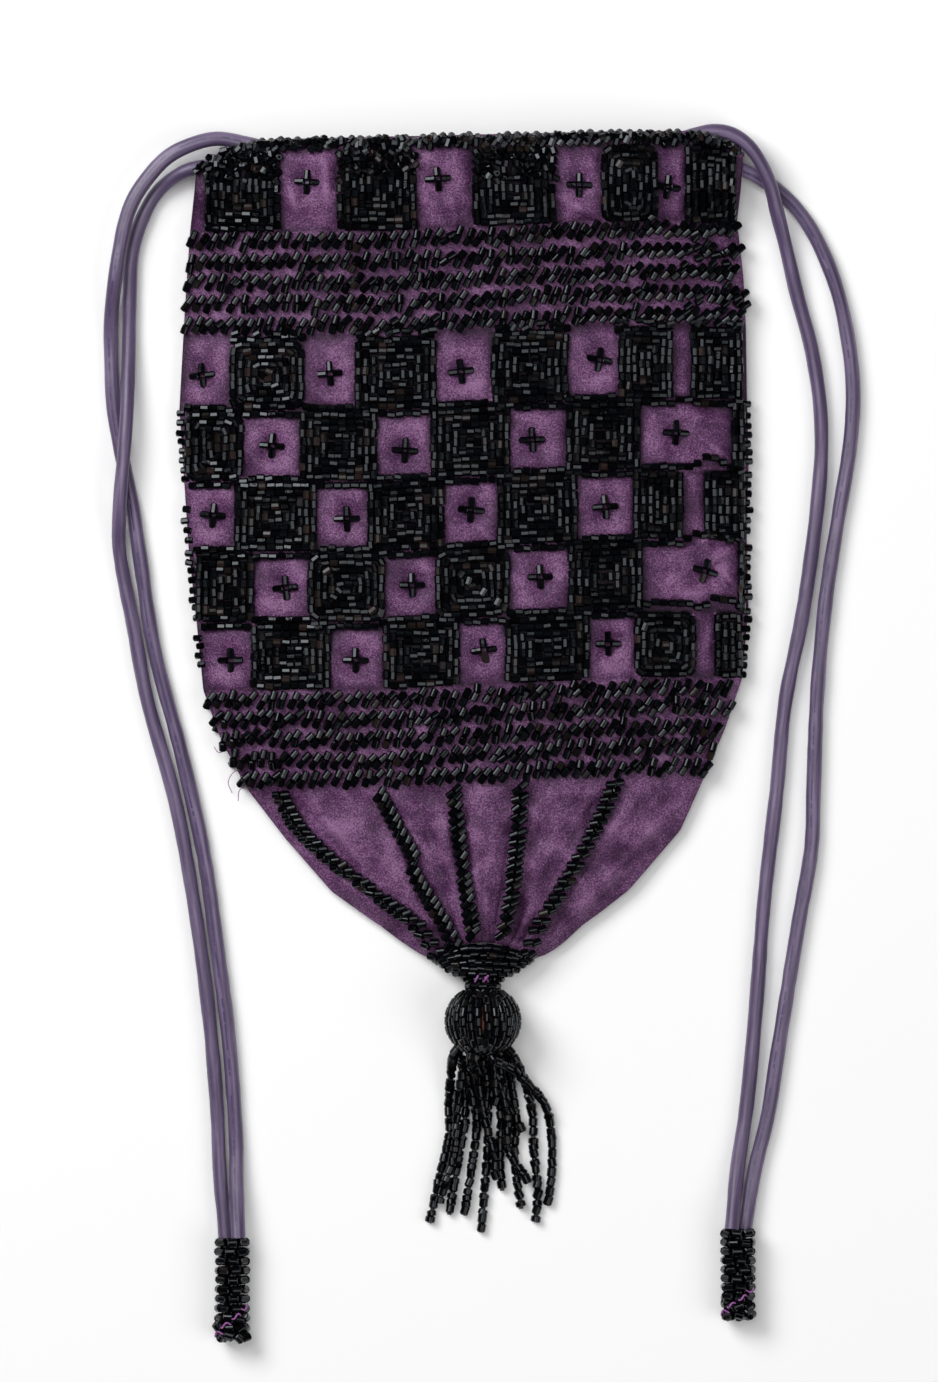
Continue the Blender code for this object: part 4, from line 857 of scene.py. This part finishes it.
def collar(finish):
    """Rows of beads wound round the gathered point of the silk."""
    beads = Beads()
    for row in range(COLLAR_ROWS):
        share = (row + 0.5) / COLLAR_ROWS
        wide = COLLAR_RADIUS + (COLLAR_LOW_RADIUS - COLLAR_RADIUS) * share ** 1.5 - BEAD_RADIUS
        tall = COLLAR_HALF_HEIGHT - BEAD_RADIUS
        angle = np.linspace(0, 2 * math.pi, 361)
        reach = reach_along(np.stack([wide * np.cos(angle), tall * np.sin(angle)], axis=1))
        count = round(reach[-1] / COLLAR_PITCH)
        for number in range(count):
            a = float(np.interp((number + random.random() * 0.3) / count * reach[-1], reach, angle))
            x = wide * math.cos(a)
            arc = TIP_ARC * (1 - share) * (x / COLLAR_RADIUS) ** 2
            y = COLLAR_TOP_Y - COLLAR_LENGTH * share - arc + random.normal(0, 0.12)
            tangent = np.array([-wide * math.sin(a), 0.0, tall * math.cos(a)])
            tangent /= np.linalg.norm(tangent)
            tangent[1] = -2 * arc / max(abs(x), 0.5) * np.sign(x) * tangent[0] + random.normal(0, 0.06)
            normal = np.array([math.cos(a) / wide, 0.1, math.sin(a) / tall])
            centre = np.array([AXIS_X + x, y, COLLAR_HALF_HEIGHT + tall * math.sin(a)])
            beads.add(centre, tangent, normal)
    bead_ring(beads, *LIP_RING)
    beads.made("collar_beads", finish, ["collar"], rounded=True)
    neck_beads = Beads()
    bead_ring(neck_beads, *NECK_RING)
    neck_beads.made("neck_beads", finish, (), "neck", rounded=True)


def bead_ring(beads, half_x, half_z, y, count):
    """Beads laid end to end round the point of the silk."""
    for number in range(count):
        a = 2 * math.pi * number / count + y
        outward = np.array([math.cos(a) / half_x, 0.0, math.sin(a) / half_z])
        tangent = np.array([-half_x * math.sin(a), random.normal(0, 0.3), half_z * math.cos(a)])
        beads.add(np.array([AXIS_X + half_x * math.cos(a), y, COLLAR_HALF_HEIGHT + half_z * math.sin(a)]),
                  tangent, outward)


def ball_cover(finish):
    """Strings of beads from pole to pole over the wooden ball, parted a little at the front."""
    beads = Beads()
    radius = BALL_RADIUS - BEAD_RADIUS
    for number in range(BALL_STRINGS):
        around = 360 * number / BALL_STRINGS
        first = 15 if number % 2 == 0 else 34
        steps = round((180 - 2 * first) * math.pi / 180 * radius / BALL_BEAD_LENGTH)
        wander = random.normal(0, 1.2)
        for step in range(steps):
            polar = math.radians(first + (180 - 2 * first) * (step + 0.5) / steps)
            parted = 0.0
            from_front = (around - 90 + 180) % 360 - 180
            if 0 < abs(from_front) < 42:
                parted = np.sign(from_front) * 2.0 * (1 - abs(from_front) / 42)
                parted *= math.exp(-((math.degrees(polar) - 101) / 13) ** 2)
            turn = math.radians(around + wander * math.sin(polar * 2) + parted)
            outward = np.array([math.sin(polar) * math.cos(turn), math.cos(polar),
                                math.sin(polar) * math.sin(turn)])
            along = np.array([math.cos(polar) * math.cos(turn), -math.sin(polar),
                              math.cos(polar) * math.sin(turn)])
            centre = np.array([AXIS_X, BALL_Y, BALL_Z]) + outward * radius * np.array([1.04, 0.97, 1.0])
            beads.add(centre, along + random.normal(0, 0.03, 3), outward, BALL_BEAD_LENGTH,
                      BALL_BEAD_RADIUS)
    for number in range(CROWN_BEADS):
        a = 2 * math.pi * number / CROWN_BEADS
        tangent = np.array([-math.sin(a), random.normal(0, 0.1), math.cos(a)])
        beads.add(np.array([AXIS_X, CROWN_Y, BALL_Z]) + spoke(a) * CROWN_RADIUS, tangent, spoke(a))
    beads.made("ball_bead_strings", finish, ["ball_bead_cover"], "tassel", rounded=True)


def strand_points(polar, around, route):
    """A string's way from its seat on the ball to its end."""
    tilt = math.radians(polar)
    turn = math.radians(around)
    outward = np.array([math.sin(tilt) * math.cos(turn), -math.cos(tilt), math.sin(tilt) * math.sin(turn)])
    seat = np.array([AXIS_X, BALL_Y, BALL_Z]) + outward * (BALL_RADIUS + STRAND_GAP)
    return np.vstack([seat, seat + outward * STRAND_LEAD, np.array(route)])


def string_beads(points):
    """Beads threaded one after another along points."""
    reach = reach_along(points)
    beads = Beads(STRING_BEAD)
    spot = 0.9
    while spot < reach[-1] - 0.5:
        short = random.random() < 0.4
        length = SHORT_BEAD_LENGTH if short else LONG_BEAD_LENGTH
        radius = STRAND_BEAD_RADIUS * (1.1 if short else 0.98)
        direction = at_reach(spot + 0.8, reach, points) - at_reach(spot - 0.8, reach, points)
        direction = direction / np.linalg.norm(direction) + random.normal(0, 0.14, 3)
        beads.add(at_reach(spot, reach, points), direction, np.array([0.2, 0.0, 1.0]), length, radius)
        spot += length * 0.95
    return beads


def tassel(finish, thread):
    """Loose strings of beads, each on its own thread, and the short ends tucked in among them."""
    for number, (polar, around, route) in enumerate(STRANDS):
        points = even_route(strand_points(polar, around, route), 400)
        points[:, 2] = np.maximum(points[:, 2], STRAND_BEAD_RADIUS + 0.05)
        name = f"tassel_string_{number + 1}"
        string_beads(points).made(f"{name}_beads", finish, [name], "tassel", rounded=True)
        made = tube(f"{name}_thread", points[::8], STRAND_THREAD_RADIUS, thread, 8)
        dressed(made, (), "tassel")
    for number, route in enumerate(SHORT_ENDS):
        string_beads(even_route(route, 120)).made(f"tassel_short_end_{number + 1}", finish, (), "tassel",
                                                  rounded=True)


def tube(name, points, radius, finish, sides=6, uv=False, crease=0.0):
    """Mesh tube along points, with a radius for all or for each point, and a crease along its seam."""
    points = np.asarray(points, float)
    count = len(points)
    radii = np.broadcast_to(np.asarray(radius, float), (count,))
    tangents = np.gradient(points, axis=0)
    tangents /= np.linalg.norm(tangents, axis=1, keepdims=True)
    side = np.cross(tangents[0], [0.0, 0.0, 1.0])
    if np.linalg.norm(side) < 1e-3:
        side = np.array([1.0, 0.0, 0.0])
    frames = []
    for tangent in tangents:
        side = side - tangent * float(side @ tangent)
        side /= np.linalg.norm(side)
        frames.append(side)
    frames = np.array(frames)
    ups = np.cross(tangents, frames)
    turn = np.arange(sides) * 2 * math.pi / sides
    ring = (frames[:, None, :] * np.cos(turn)[None, :, None]
            + ups[:, None, :] * np.sin(turn)[None, :, None])
    from_seam = (turn / (2 * math.pi) - SEAM_PLACE) / SEAM_WIDTH
    ring = ring * (1 - crease * np.exp(-from_seam ** 2))[None, :, None]
    verts = (points[:, None, :] + ring * radii[:, None, None]).reshape(-1, 3)
    faces = grid_faces(count, sides, wrap=True)[:, ::-1]
    made = mesh_object(name, verts, faces, finish)
    if uv:
        along = np.repeat(reach_along(points), sides)
        around = np.tile(np.arange(sides) / sides, count)
        layer = made.data.uv_layers.new(name="along_cord")
        corner = np.empty(len(made.data.loops), np.int32)
        made.data.loops.foreach_get("vertex_index", corner)
        values = np.stack([along[corner], around[corner]], axis=1)
        quads = values.reshape(-1, 4, 2)
        wrapped = (quads[:, :, 1].max(axis=1) - quads[:, :, 1].min(axis=1)) > 0.5
        quads[wrapped, :, 1] = np.where(quads[wrapped, :, 1] < 0.5, quads[wrapped, :, 1] + 1,
                                        quads[wrapped, :, 1])
        layer.data.foreach_set("uv", quads.ravel())
    return made


def cord_route(side, from_front, from_back, high_on_front):
    """The whole route of a cord: tip, free side, front casing, far turn, back casing, free side, tip."""
    front_y = CASED_HIGH_Y if high_on_front else CASED_LOW_Y
    back_y = CASED_LOW_Y if high_on_front else CASED_HIGH_Y
    shares = (1.1, 0.9, 0.45, 0.0, -0.45, -0.9, -1.1)
    hidden = []
    for share in shares:
        x = side * CASING_HALF_LENGTH * share
        hidden.append((x, front_y, float(front_height(x, CASED_MIDDLE_Y)) - CASED_FRONT_DEPTH))
    far = -side * (CASING_HALF_LENGTH + TURN_REACH)
    hidden.append((far, (front_y + back_y) / 2, (hidden[-1][2] + CASED_BACK_Z) / 2))
    for share in reversed(shares):
        hidden.append((side * CASING_HALF_LENGTH * share, back_y, CASED_BACK_Z))
    return from_front[::-1] + hidden + from_back


def drawcord(name, side, from_front, from_back, high_on_front, finish):
    """A silk tube cord, soft and a little uneven, with its seam along one side."""
    points = even_route(cord_route(side, from_front, from_back, high_on_front), CORD_POINTS)
    cased = (np.abs(points[:, 0]) < CASING_HALF_LENGTH + TURN_REACH + 1) & (points[:, 1] > CASING_LOW_Y)
    radii = np.where(cased, CASED_CORD_RADIUS, CORD_RADIUS)
    radii = np.convolve(np.pad(radii, 3, mode="edge"), np.ones(7) / 7, mode="valid")
    points[:, 2] = np.maximum(points[:, 2], radii * 1.03)
    for smoothing in range(3):
        points[1:-1] = (points[:-2] + 2 * points[1:-1] + points[2:]) / 4
    spots = np.arange(len(points)) * 1.35
    broad = noise(spots / 9.0, np.full(len(spots), side * 7.3))
    fine = noise(spots / 3.6, np.full(len(spots), 3.1))
    radii = radii * np.minimum(1 + 0.05 * broad + 0.04 * fine, 1.03)
    made = tube(name, points, radii, finish, sides=CORD_SIDES, uv=True, crease=SEAM_CREASE)
    dressed(made, [name.replace("_silk", "")])
    return made, points


def cord_tip(name, tip, finish, thread):
    """Rows of beads wound round the joined cord ends, neat at first and then tangled."""
    tip_x, tip_y, length = tip
    radius = TIP_RADIUS - TIP_BEAD_RADIUS - 0.1
    beads = Beads()
    rows = round(length / TIP_ROW_PITCH)
    top_y = tip_y + TIP_SEAT - TIP_BEAD_RADIUS
    for row in range(rows):
        messy = max(0.0, (row - rows * TIP_TANGLED_FROM) / (rows * (1 - TIP_TANGLED_FROM)))
        y = top_y - (length + TIP_SEAT - 2 * TIP_BEAD_RADIUS) * row / (rows - 1)
        start = random.random() * 6.28
        for number in range(TIP_ROW_BEADS):
            a = start + 2 * math.pi * number / TIP_ROW_BEADS
            outward = spoke(a)
            tangent = np.array([-math.sin(a), random.normal(0, 0.07 + 0.7 * messy), math.cos(a)])
            centre = np.array([tip_x, y + random.normal(0, 0.08 + 0.5 * messy), TIP_RADIUS])
            beads.add(centre + outward * (radius + random.normal(0, 0.05) - 0.5 * messy * random.random()),
                      tangent, outward, TIP_BEAD_LENGTH, TIP_BEAD_RADIUS)
    for number in range(TIP_TANGLED_BEADS):
        outward = spoke(random.random() * 6.28)
        centre = np.array([tip_x, tip_y - length + 0.6 + random.random() * 4.0, TIP_RADIUS])
        centre = centre + outward * random.uniform(0.6, 4.3)
        centre[2] = max(centre[2], TIP_BEAD_RADIUS + 0.2)
        beads.add(centre, random.normal(0, 1, 3), outward, 2.3, TIP_BEAD_RADIUS)
    beads.made(f"{name}_beads", finish, [name], rounded=True)
    core_route = [(tip_x, tip_y - 0.5, TIP_RADIUS), (tip_x, tip_y - length + 2.0, TIP_RADIUS)]
    dressed(tube(f"{name}_core", core_route, radius - 1.2, finish, 14))
    for number in range(TIP_THREADS):
        a = 0.5 + 0.7 * number
        at = np.array([tip_x, tip_y - length * (0.66 + 0.09 * number), TIP_RADIUS])
        out = spoke(a)
        side = np.array([-math.sin(a), 0.0, math.cos(a)])
        route = even_route([at + out * 3.4 - side * 1.3,
                            at + out * 4.5 + np.array([0, 0.8, 0]),
                            at + out * 4.4 + side * 1.2 - np.array([0, 0.6, 0]),
                            at + out * 3.3 + side * 2.0], 14)
        dressed(tube(f"{name}_thread_{number + 1}", route, TIP_THREAD_RADIUS, thread, 6))


def silk_front(finish):
    """The front panel as one sheet that turns under at both sides, with painted light and shade as an
    attribute: lighter on its ridges, darker in its folds, under its beads and along its cells' edges.
    """
    rows, columns = FRONT_GRID
    across = np.linspace(-1, 1, columns)
    across = np.sign(across) * (1 - (1 - np.abs(across)) ** 1.35)
    y = np.linspace(RIM_Y, SIDE_LEVELS[-1, 0], rows)
    left = level_value(y, 1)[:, None]
    right = level_value(y, 2)[:, None]
    x = (left + right) / 2 + across[None] * (right - left) / 2
    level = np.broadcast_to(y[:, None], x.shape)
    lies = as_it_lies(x, level)
    z = front_height(x, level) + wrinkles(x, lies)
    grid = np.stack([x, lies, z], axis=-1)
    under = []
    for side in (0, -1):
        edge = grid[:, side]
        outward = -1 if side == 0 else 1
        first = edge + np.array([outward * TURN_UNDER, 0, -0.4])
        low = np.minimum(BACK_SILK_TOP + 0.05, first[:, 2] - 0.2)
        second = np.stack([edge[:, 0] + outward * 0.1, edge[:, 1], low], axis=1)
        under.append([first, second])
    # Painted light and shade: colour lighter on the ridges of the wrinkles and darker in their valleys,
    # from their height over the smooth shape.
    painted_light_and_shade = (grid[:, :, 2] - front_height(x, level)) / 1.2
    for index, row in enumerate(BLOCK_ROWS):
        top, bottom = row_limits(index)
        block_ends = [np.full_like(left, end) for ends in row for end in ends]
        edges = [left] + block_ends + [right]
        line_depth = 1.6 if index > 1 else 0.0
        within = np.minimum(top - line_depth - level, level - bottom)
        # Painted shade: silk darkened along the edges of each cell between blocks, fading inward.
        for start, end in zip(edges[::2], edges[1::2]):
            inside = np.minimum(np.minimum(x - start, end - x), within)
            shade = EDGE_SHADE * np.exp(-np.maximum(inside, 0) / EDGE_SHADE_FADE)
            painted_light_and_shade = painted_light_and_shade - np.where(inside > -0.5, shade, 0)
        # Painted shade: silk under each block set far darker, as if in its beads' shadow.
        for start, end in row:
            covered = (x > start + 0.8) & (x < end - 0.8) & (level < top - 0.6) & (level > bottom + 0.6)
            painted_light_and_shade[covered] = COVERED_PAINTED_SHADE
    painted_light_and_shade = np.pad(painted_light_and_shade, ((0, 0), (2, 2)), mode="edge")
    grid = np.concatenate([under[0][1][:, None], under[0][0][:, None], grid,
                           under[1][0][:, None], under[1][1][:, None]], axis=1)
    made = mesh_object("front_silk", grid.reshape(-1, 3), grid_faces(rows, columns + 4), finish)
    layer = made.data.attributes.new("painted_light_and_shade", "FLOAT", "POINT")
    layer.data.foreach_set("value", painted_light_and_shade.ravel().astype(np.float32))
    thicken(made, SILK)
    return dressed(made, ["front_panel"])


def silk_back(finish):
    """The back panel as a nearly flat sheet."""
    rows, columns = BACK_GRID
    across = np.linspace(-1, 1, columns)
    y = np.linspace(RIM_Y, SIDE_LEVELS[-1, 0], rows)
    left = level_value(y, 1)[:, None] - 0.1
    right = level_value(y, 2)[:, None] + 0.1
    x = (left + right) / 2 + across[None] * (right - left) / 2
    lies = as_it_lies(x, np.broadcast_to(y[:, None], x.shape))
    rise = 0.1 + 0.1 * noise(x / 3.3 + 50, lies / 4.4)
    grid = np.stack([x, lies, BACK_SILK_TOP - SILK + rise], axis=-1)
    made = mesh_object("back_silk", grid.reshape(-1, 3), grid_faces(rows, columns)[:, ::-1], finish)
    thicken(made, SILK * 0.8)
    return dressed(made, ["back_panel"])


def thicken(made, depth):
    """Give a sheet its thickness, in millimetres, below its own surface."""
    solid = made.modifiers.new("cloth", "SOLIDIFY")
    solid.thickness = depth * MM
    solid.offset = -1.0


def lining(finish):
    """The lining pouch, a thin sheet inside the silk."""
    row_count, columns = LINING_GRID
    rows = []
    for y in np.linspace(CASING_LOW_Y - LINING_TOP_GAP, LINING_LOW_Y, row_count):
        left = float(level_value(y, 1)) + LINING_INSET
        right = float(level_value(y, 2)) - LINING_INSET
        up_x = np.linspace(left, right, columns)
        down_x = np.linspace(right, left, columns)[1:-1]
        top = front_height(up_x, y) - SILK - 0.9
        low = np.full(len(down_x), BACK_SILK_TOP + 0.4)
        xs = np.concatenate([up_x, down_x])
        rows.append(np.stack([xs, np.full(len(xs), y), np.concatenate([top, low])], axis=1))
    grid = np.array(rows)
    faces = grid_faces(row_count, grid.shape[1], wrap=True)
    made = mesh_object("lining_cloth", grid.reshape(-1, 3), faces, finish)
    thicken(made, THIN_CLOTH)
    return dressed(made, ["lining"])


def casing(name, low_heights, finish, node):
    """A strip inside the mouth that a drawcord runs under."""
    rows, columns = CASING_GRID
    xs = np.linspace(-CASING_HALF_LENGTH, CASING_HALF_LENGTH, columns)
    ys = np.linspace(CASING_HIGH_Y, CASING_LOW_Y, rows)
    x, y = np.meshgrid(xs, ys)
    z = low_heights(x) + CASING_STRIP * 0.9 + 0.04 * noise(x / 2.0, y / 5.0)
    grid = np.stack([x, y, z], axis=-1)
    made = mesh_object(name, grid.reshape(-1, 3), grid_faces(rows, columns), finish)
    thicken(made, THIN_CLOTH)
    return dressed(made, [node])


def knot(thread):
    """Short slanted threads that gather the point and hold the ball."""
    for number, (low_x, high_x, z) in enumerate(KNOT_THREADS):
        route = [(low_x, KNOT_Y - 0.9, z - 0.5),
                 ((low_x + high_x) / 2, KNOT_Y, z),
                 (high_x, KNOT_Y + 0.8, z - 0.3)]
        made = tube(f"neck_thread_{number + 1}", even_route(route, 12), KNOT_THREAD_RADIUS, thread, 8)
        dressed(made, ["neck_knot"] if number == 0 else [], "neck")


def loose_threads(thread):
    """A few broken ends of thread beside the lower band."""
    for number, route in enumerate(LOOSE_THREADS):
        made = tube(f"loose_thread_{number + 1}", even_route(route, 20), LOOSE_THREAD_RADIUS, thread, 5)
        dressed(made)


def node_tree(name):
    """A new material, its tree and its shader."""
    made = bpy.data.materials.new(name)
    made.use_nodes = True
    return made, made.node_tree, made.node_tree.nodes["Principled BSDF"]


def ramp(tree, factor, stops):
    """Colour output of a ramp: each stop is a position and a colour."""
    node = tree.nodes.new("ShaderNodeValToRGB")
    node.color_ramp.elements[0].position = stops[0][0]
    node.color_ramp.elements[0].color = (*stops[0][1], 1)
    node.color_ramp.elements[1].position = stops[-1][0]
    node.color_ramp.elements[1].color = (*stops[-1][1], 1)
    for position, colour in stops[1:-1]:
        node.color_ramp.elements.new(position).color = (*colour, 1)
    tree.links.new(factor, node.inputs["Fac"])
    return node.outputs["Color"]


def noise_texture(tree, scale, vector, **settings):
    """Factor output of a noise texture with its inputs set by name."""
    node = tree.nodes.new("ShaderNodeTexNoise")
    node.inputs["Scale"].default_value = scale
    tree.links.new(vector, node.inputs["Vector"])
    for key, value in settings.items():
        node.inputs[key].default_value = value
    return node.outputs["Fac"]


def object_place(tree):
    return tree.nodes.new("ShaderNodeTexCoord").outputs["Object"]


def stretched_place(tree, vector, scale):
    """Coordinates scaled by a factor along each axis."""
    node = tree.nodes.new("ShaderNodeMapping")
    node.inputs["Scale"].default_value = scale
    tree.links.new(vector, node.inputs["Vector"])
    return node.outputs["Vector"]


def bump(tree, shader, height, strength, distance):
    """Roughen a shader's surface by a height, over a distance in metres."""
    node = tree.nodes.new("ShaderNodeBump")
    node.inputs["Strength"].default_value = strength
    node.inputs["Distance"].default_value = distance
    tree.links.new(height, node.inputs["Height"])
    tree.links.new(node.outputs["Normal"], shader.inputs["Normal"])


def set_inputs(shader, **values):
    """Set a shader's plain inputs, each named with underscores for spaces."""
    for key, value in values.items():
        shader.inputs[key.replace("_", " ")].default_value = value


def bead_material():
    """Black glass: each bead a little different in colour and gloss."""
    made, tree, shader = node_tree("black_glass")
    island = tree.nodes.new("ShaderNodeNewGeometry").outputs["Random Per Island"]
    colour = ramp(tree, island, [(0.0, (0.0005, 0.0005, 0.001)), (0.88, (0.0015, 0.0018, 0.0028)),
                                 (0.96, (0.007, 0.005, 0.004)), (1.0, (0.022, 0.013, 0.011))])
    tree.links.new(colour, shader.inputs["Base Color"])
    spread = tree.nodes.new("ShaderNodeMapRange")
    spread.inputs["To Min"].default_value = 0.08
    spread.inputs["To Max"].default_value = 0.24
    tree.links.new(island, spread.inputs["Value"])
    tree.links.new(spread.outputs["Result"], shader.inputs["Roughness"])
    bump(tree, shader, noise_texture(tree, 1100, object_place(tree)), 0.25, 0.0001)
    set_inputs(shader, Specular_IOR_Level=0.28, Specular_Tint=(0.88, 0.94, 1.0, 1.0))
    return made


def maths(tree, operation, *values):
    """Output of a maths node whose inputs are sockets or plain numbers."""
    node = tree.nodes.new("ShaderNodeMath")
    node.operation = operation
    for socket, value in zip(node.inputs, values):
        if isinstance(value, (int, float)):
            socket.default_value = value
        else:
            tree.links.new(value, socket)
    return node.outputs["Value"]


def silk_material(name, dark, middle, light, weave_scale):
    """Crepe silk: a pebbled weave, soft blotches, and painted light and shade from an attribute: darker in
    its folds and under its beads, lighter on its ridges.
    """
    made, tree, shader = node_tree(name)
    coordinates = object_place(tree)
    painted_light_and_shade = tree.nodes.new("ShaderNodeAttribute")
    painted_light_and_shade.attribute_name = "painted_light_and_shade"
    broad = noise_texture(tree, 120, coordinates, Detail=4.0)
    crepe = noise_texture(tree, weave_scale, coordinates, Detail=2.0, Roughness=0.7)
    crease = noise_texture(tree, 430, coordinates, Detail=3.0, Distortion=1.4)
    tone = maths(tree, "MULTIPLY", broad, 0.36)
    # Painted light and shade from the front silk's attribute: lighter on ridges, darker in folds, under the
    # beads and along cell edges.
    for part, share in ((crepe, 0.56), (crease, 0.1), (painted_light_and_shade.outputs["Fac"], 0.05)):
        tone = maths(tree, "ADD", tone, maths(tree, "MULTIPLY", part, share))
    # Painted shade: the darkest stop is reached only where the silk lies under the blocks' beads.
    shade = tuple(0.2 * part for part in dark)
    colour = ramp(tree, tone, [(0.2, shade), (0.39, dark), (0.5, middle), (0.61, light)])
    tree.links.new(colour, shader.inputs["Base Color"])
    set_inputs(shader, Roughness=0.5, Specular_IOR_Level=0.2, Sheen_Weight=0.06, Sheen_Roughness=0.4)
    weave = maths(tree, "ADD", crepe, maths(tree, "MULTIPLY", crease, 2.4))
    bump(tree, shader, weave, 0.6, 0.00022)
    return made


def cord_material():
    """Satin silk with streaks along the cord and a broken seam line."""
    made, tree, shader = node_tree("cord_satin")
    where = tree.nodes.new("ShaderNodeUVMap")
    where.uv_map = "along_cord"
    place = where.outputs["UV"]
    split = tree.nodes.new("ShaderNodeSeparateXYZ")
    tree.links.new(place, split.inputs["Vector"])
    streaks = noise_texture(tree, 1.0, stretched_place(tree, place, (0.05, 7.0, 1.0)), Detail=3.0,
                            Distortion=0.3)
    base = ramp(tree, streaks, [(0.3, (0.055, 0.034, 0.084)), (0.5, (0.09, 0.06, 0.13)),
                                (0.7, (0.165, 0.12, 0.215))])
    seam = maths(tree, "COMPARE", split.outputs["Y"], SEAM_PLACE, 0.02)
    worn = noise_texture(tree, 1.0, stretched_place(tree, place, (0.16, 0.0, 1.0)), Detail=4.0)
    dotted = maths(tree, "MULTIPLY", seam, maths(tree, "GREATER_THAN", worn, 0.49))
    mixed = tree.nodes.new("ShaderNodeMix")
    mixed.data_type = "RGBA"
    mixed.inputs["B"].default_value = (0.05, 0.036, 0.1, 1)
    tree.links.new(dotted, mixed.inputs["Factor"])
    tree.links.new(base, mixed.inputs["A"])
    tree.links.new(mixed.outputs["Result"], shader.inputs["Base Color"])
    set_inputs(shader, Roughness=0.4, Sheen_Weight=0.1)
    bump(tree, shader, noise_texture(tree, 900, object_place(tree), Detail=3.0), 0.3, 0.0002)
    return made


def plain_material(name, dark, light, scale, roughness, stretched=False):
    """Uneven thread or wood, by noise between two colours."""
    made, tree, shader = node_tree(name)
    coordinates = object_place(tree)
    if stretched:
        coordinates = stretched_place(tree, coordinates, (1.0, 0.2, 1.0))
    grain = noise_texture(tree, scale, coordinates, Detail=5.0)
    colour = ramp(tree, grain, [(0.35, dark), (0.65, light)])
    tree.links.new(colour, shader.inputs["Base Color"])
    set_inputs(shader, Roughness=roughness)
    bump(tree, shader, grain, 0.3, 0.0001)
    return made


def stage():
    """Pale floor, soft light from the upper left, and the camera straight above."""
    scene = bpy.context.scene
    scene.view_settings.view_transform = "Standard"
    mesh = bpy.data.meshes.new("floor")
    corners = [(x * FLOOR_REACH, y * FLOOR_REACH, 0) for x, y in ((-1, -1), (1, -1), (1, 1), (-1, 1))]
    mesh.from_pydata(corners, [], [(0, 1, 2, 3)])
    floor = bpy.data.objects.new("floor", mesh)
    floor.location.z = -FLOOR_DROP
    scene.collection.objects.link(floor)
    made, tree, shader = node_tree("floor_paper")
    set_inputs(shader, Base_Color=(0.95, 0.95, 0.95, 1), Roughness=0.9, Specular_IOR_Level=0.1)
    floor.data.materials.append(made)

    world = bpy.data.worlds.new("studio")
    world.use_nodes = True
    background = world.node_tree.nodes["Background"]
    background.inputs["Color"].default_value = (1.0, 1.0, 1.0, 1)
    background.inputs["Strength"].default_value = 0.05
    scene.world = world

    for name, place, size, power in LAMPS:
        light = bpy.data.lights.new(name, "AREA")
        light.shape = "SQUARE"
        light.size = size
        light.energy = power
        lamp = bpy.data.objects.new(name, light)
        lamp.location = place
        lamp.rotation_euler = (Vector((0, 0, 0)) - Vector(place)).to_track_quat("-Z", "Y").to_euler()
        scene.collection.objects.link(lamp)

    data = bpy.data.cameras.new("camera")
    data.sensor_width = SENSOR_LONG_SIDE
    data.lens = CAMERA_DISTANCE * SENSOR_LONG_SIDE / (IMAGE_HEIGHT_MM * MM)
    camera = bpy.data.objects.new("camera", data)
    camera.location = (CAMERA_CENTRE[0] * MM, CAMERA_CENTRE[1] * MM, CAMERA_DISTANCE)
    scene.collection.objects.link(camera)
    scene.camera = camera


def build():
    """Every piece of the pouch."""
    stage()
    beads = bead_material()
    silk = silk_material("purple_silk", (0.032, 0.009, 0.035), (0.09, 0.030, 0.093),
                         (0.24, 0.115, 0.24), 2400)
    cloth = silk_material("lining_silk", (0.04, 0.016, 0.044), (0.07, 0.028, 0.075),
                          (0.1, 0.045, 0.105), 900)
    cord_silk = cord_material()
    black_thread = plain_material("black_thread", (0.003, 0.003, 0.004), (0.01, 0.01, 0.013), 1800, 0.5)
    thread = plain_material("purple_thread", (0.2, 0.05, 0.22), (0.38, 0.13, 0.4), 1800, 0.6)
    wood = plain_material("stained_wood", (0.33, 0.09, 0.05), (0.52, 0.17, 0.1), 500, 0.55, True)

    front = silk_front(silk)
    back = silk_back(silk)
    inside = lining(cloth)
    front_strip = casing("front_casing_strip",
                         lambda x: front_height(x, CASED_MIDDLE_Y) - FRONT_CASING_DEPTH - CASING_STRIP,
                         silk, "front_casing")
    back_strip = casing("back_casing_strip", lambda x: x * 0 + BACK_CASING_LOW, silk, "back_casing")
    for side in ("front", "back"):
        for index in range(len(BLOCK_ROWS)):
            row = Beads(BEAD_SHAPES[side])
            checker_row(row, side, index)
            row.made(f"{side}_checker_beads_{index}", beads, [f"{side}_checker_row_{index}"])
        band(side, "upper_band", UPPER_BAND_TOP_Y, CHECKER_TOP_Y, beads)
        band(side, "lower_band", LOWER_BAND_TOP_Y, BASE_TOP_Y, beads)
        rim(side, beads)
        base_lines(side, beads)
    edges = Beads()
    edge_combs(edges)
    edges.made("side_edge_beads", beads)
    crosses = Beads()
    for x, y in CROSSES:
        cross(crosses, x, y)
    crosses.made("cross_beads", beads)
    collar(beads)
    knot(thread)
    ball_cover(beads)
    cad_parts["ball_core"].data.materials.clear()
    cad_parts["ball_core"].data.materials.append(wood)
    tassel(beads, black_thread)
    loose_threads(thread)
    for name, tip in (("left_cord_tip", TIP_LEFT), ("right_cord_tip", TIP_RIGHT)):
        cord_tip(name, tip, beads, thread)

    for name, side, from_front, from_back in (("left", -1, LEFT_OUTER_SIDE, LEFT_INNER_SIDE),
                                              ("right", 1, RIGHT_OUTER_SIDE, RIGHT_INNER_SIDE)):
        made, points = drawcord(f"{name}_drawcord_silk", side, from_front, from_back, side < 0, cord_silk)
        tip_pieces = [f"{name}_cord_tip_beads", f"{name}_cord_tip_core"]
        tip_pieces += [f"{name}_cord_tip_thread_{number + 1}" for number in range(TIP_THREADS)]


build()
bpy.context.view_layer.update()
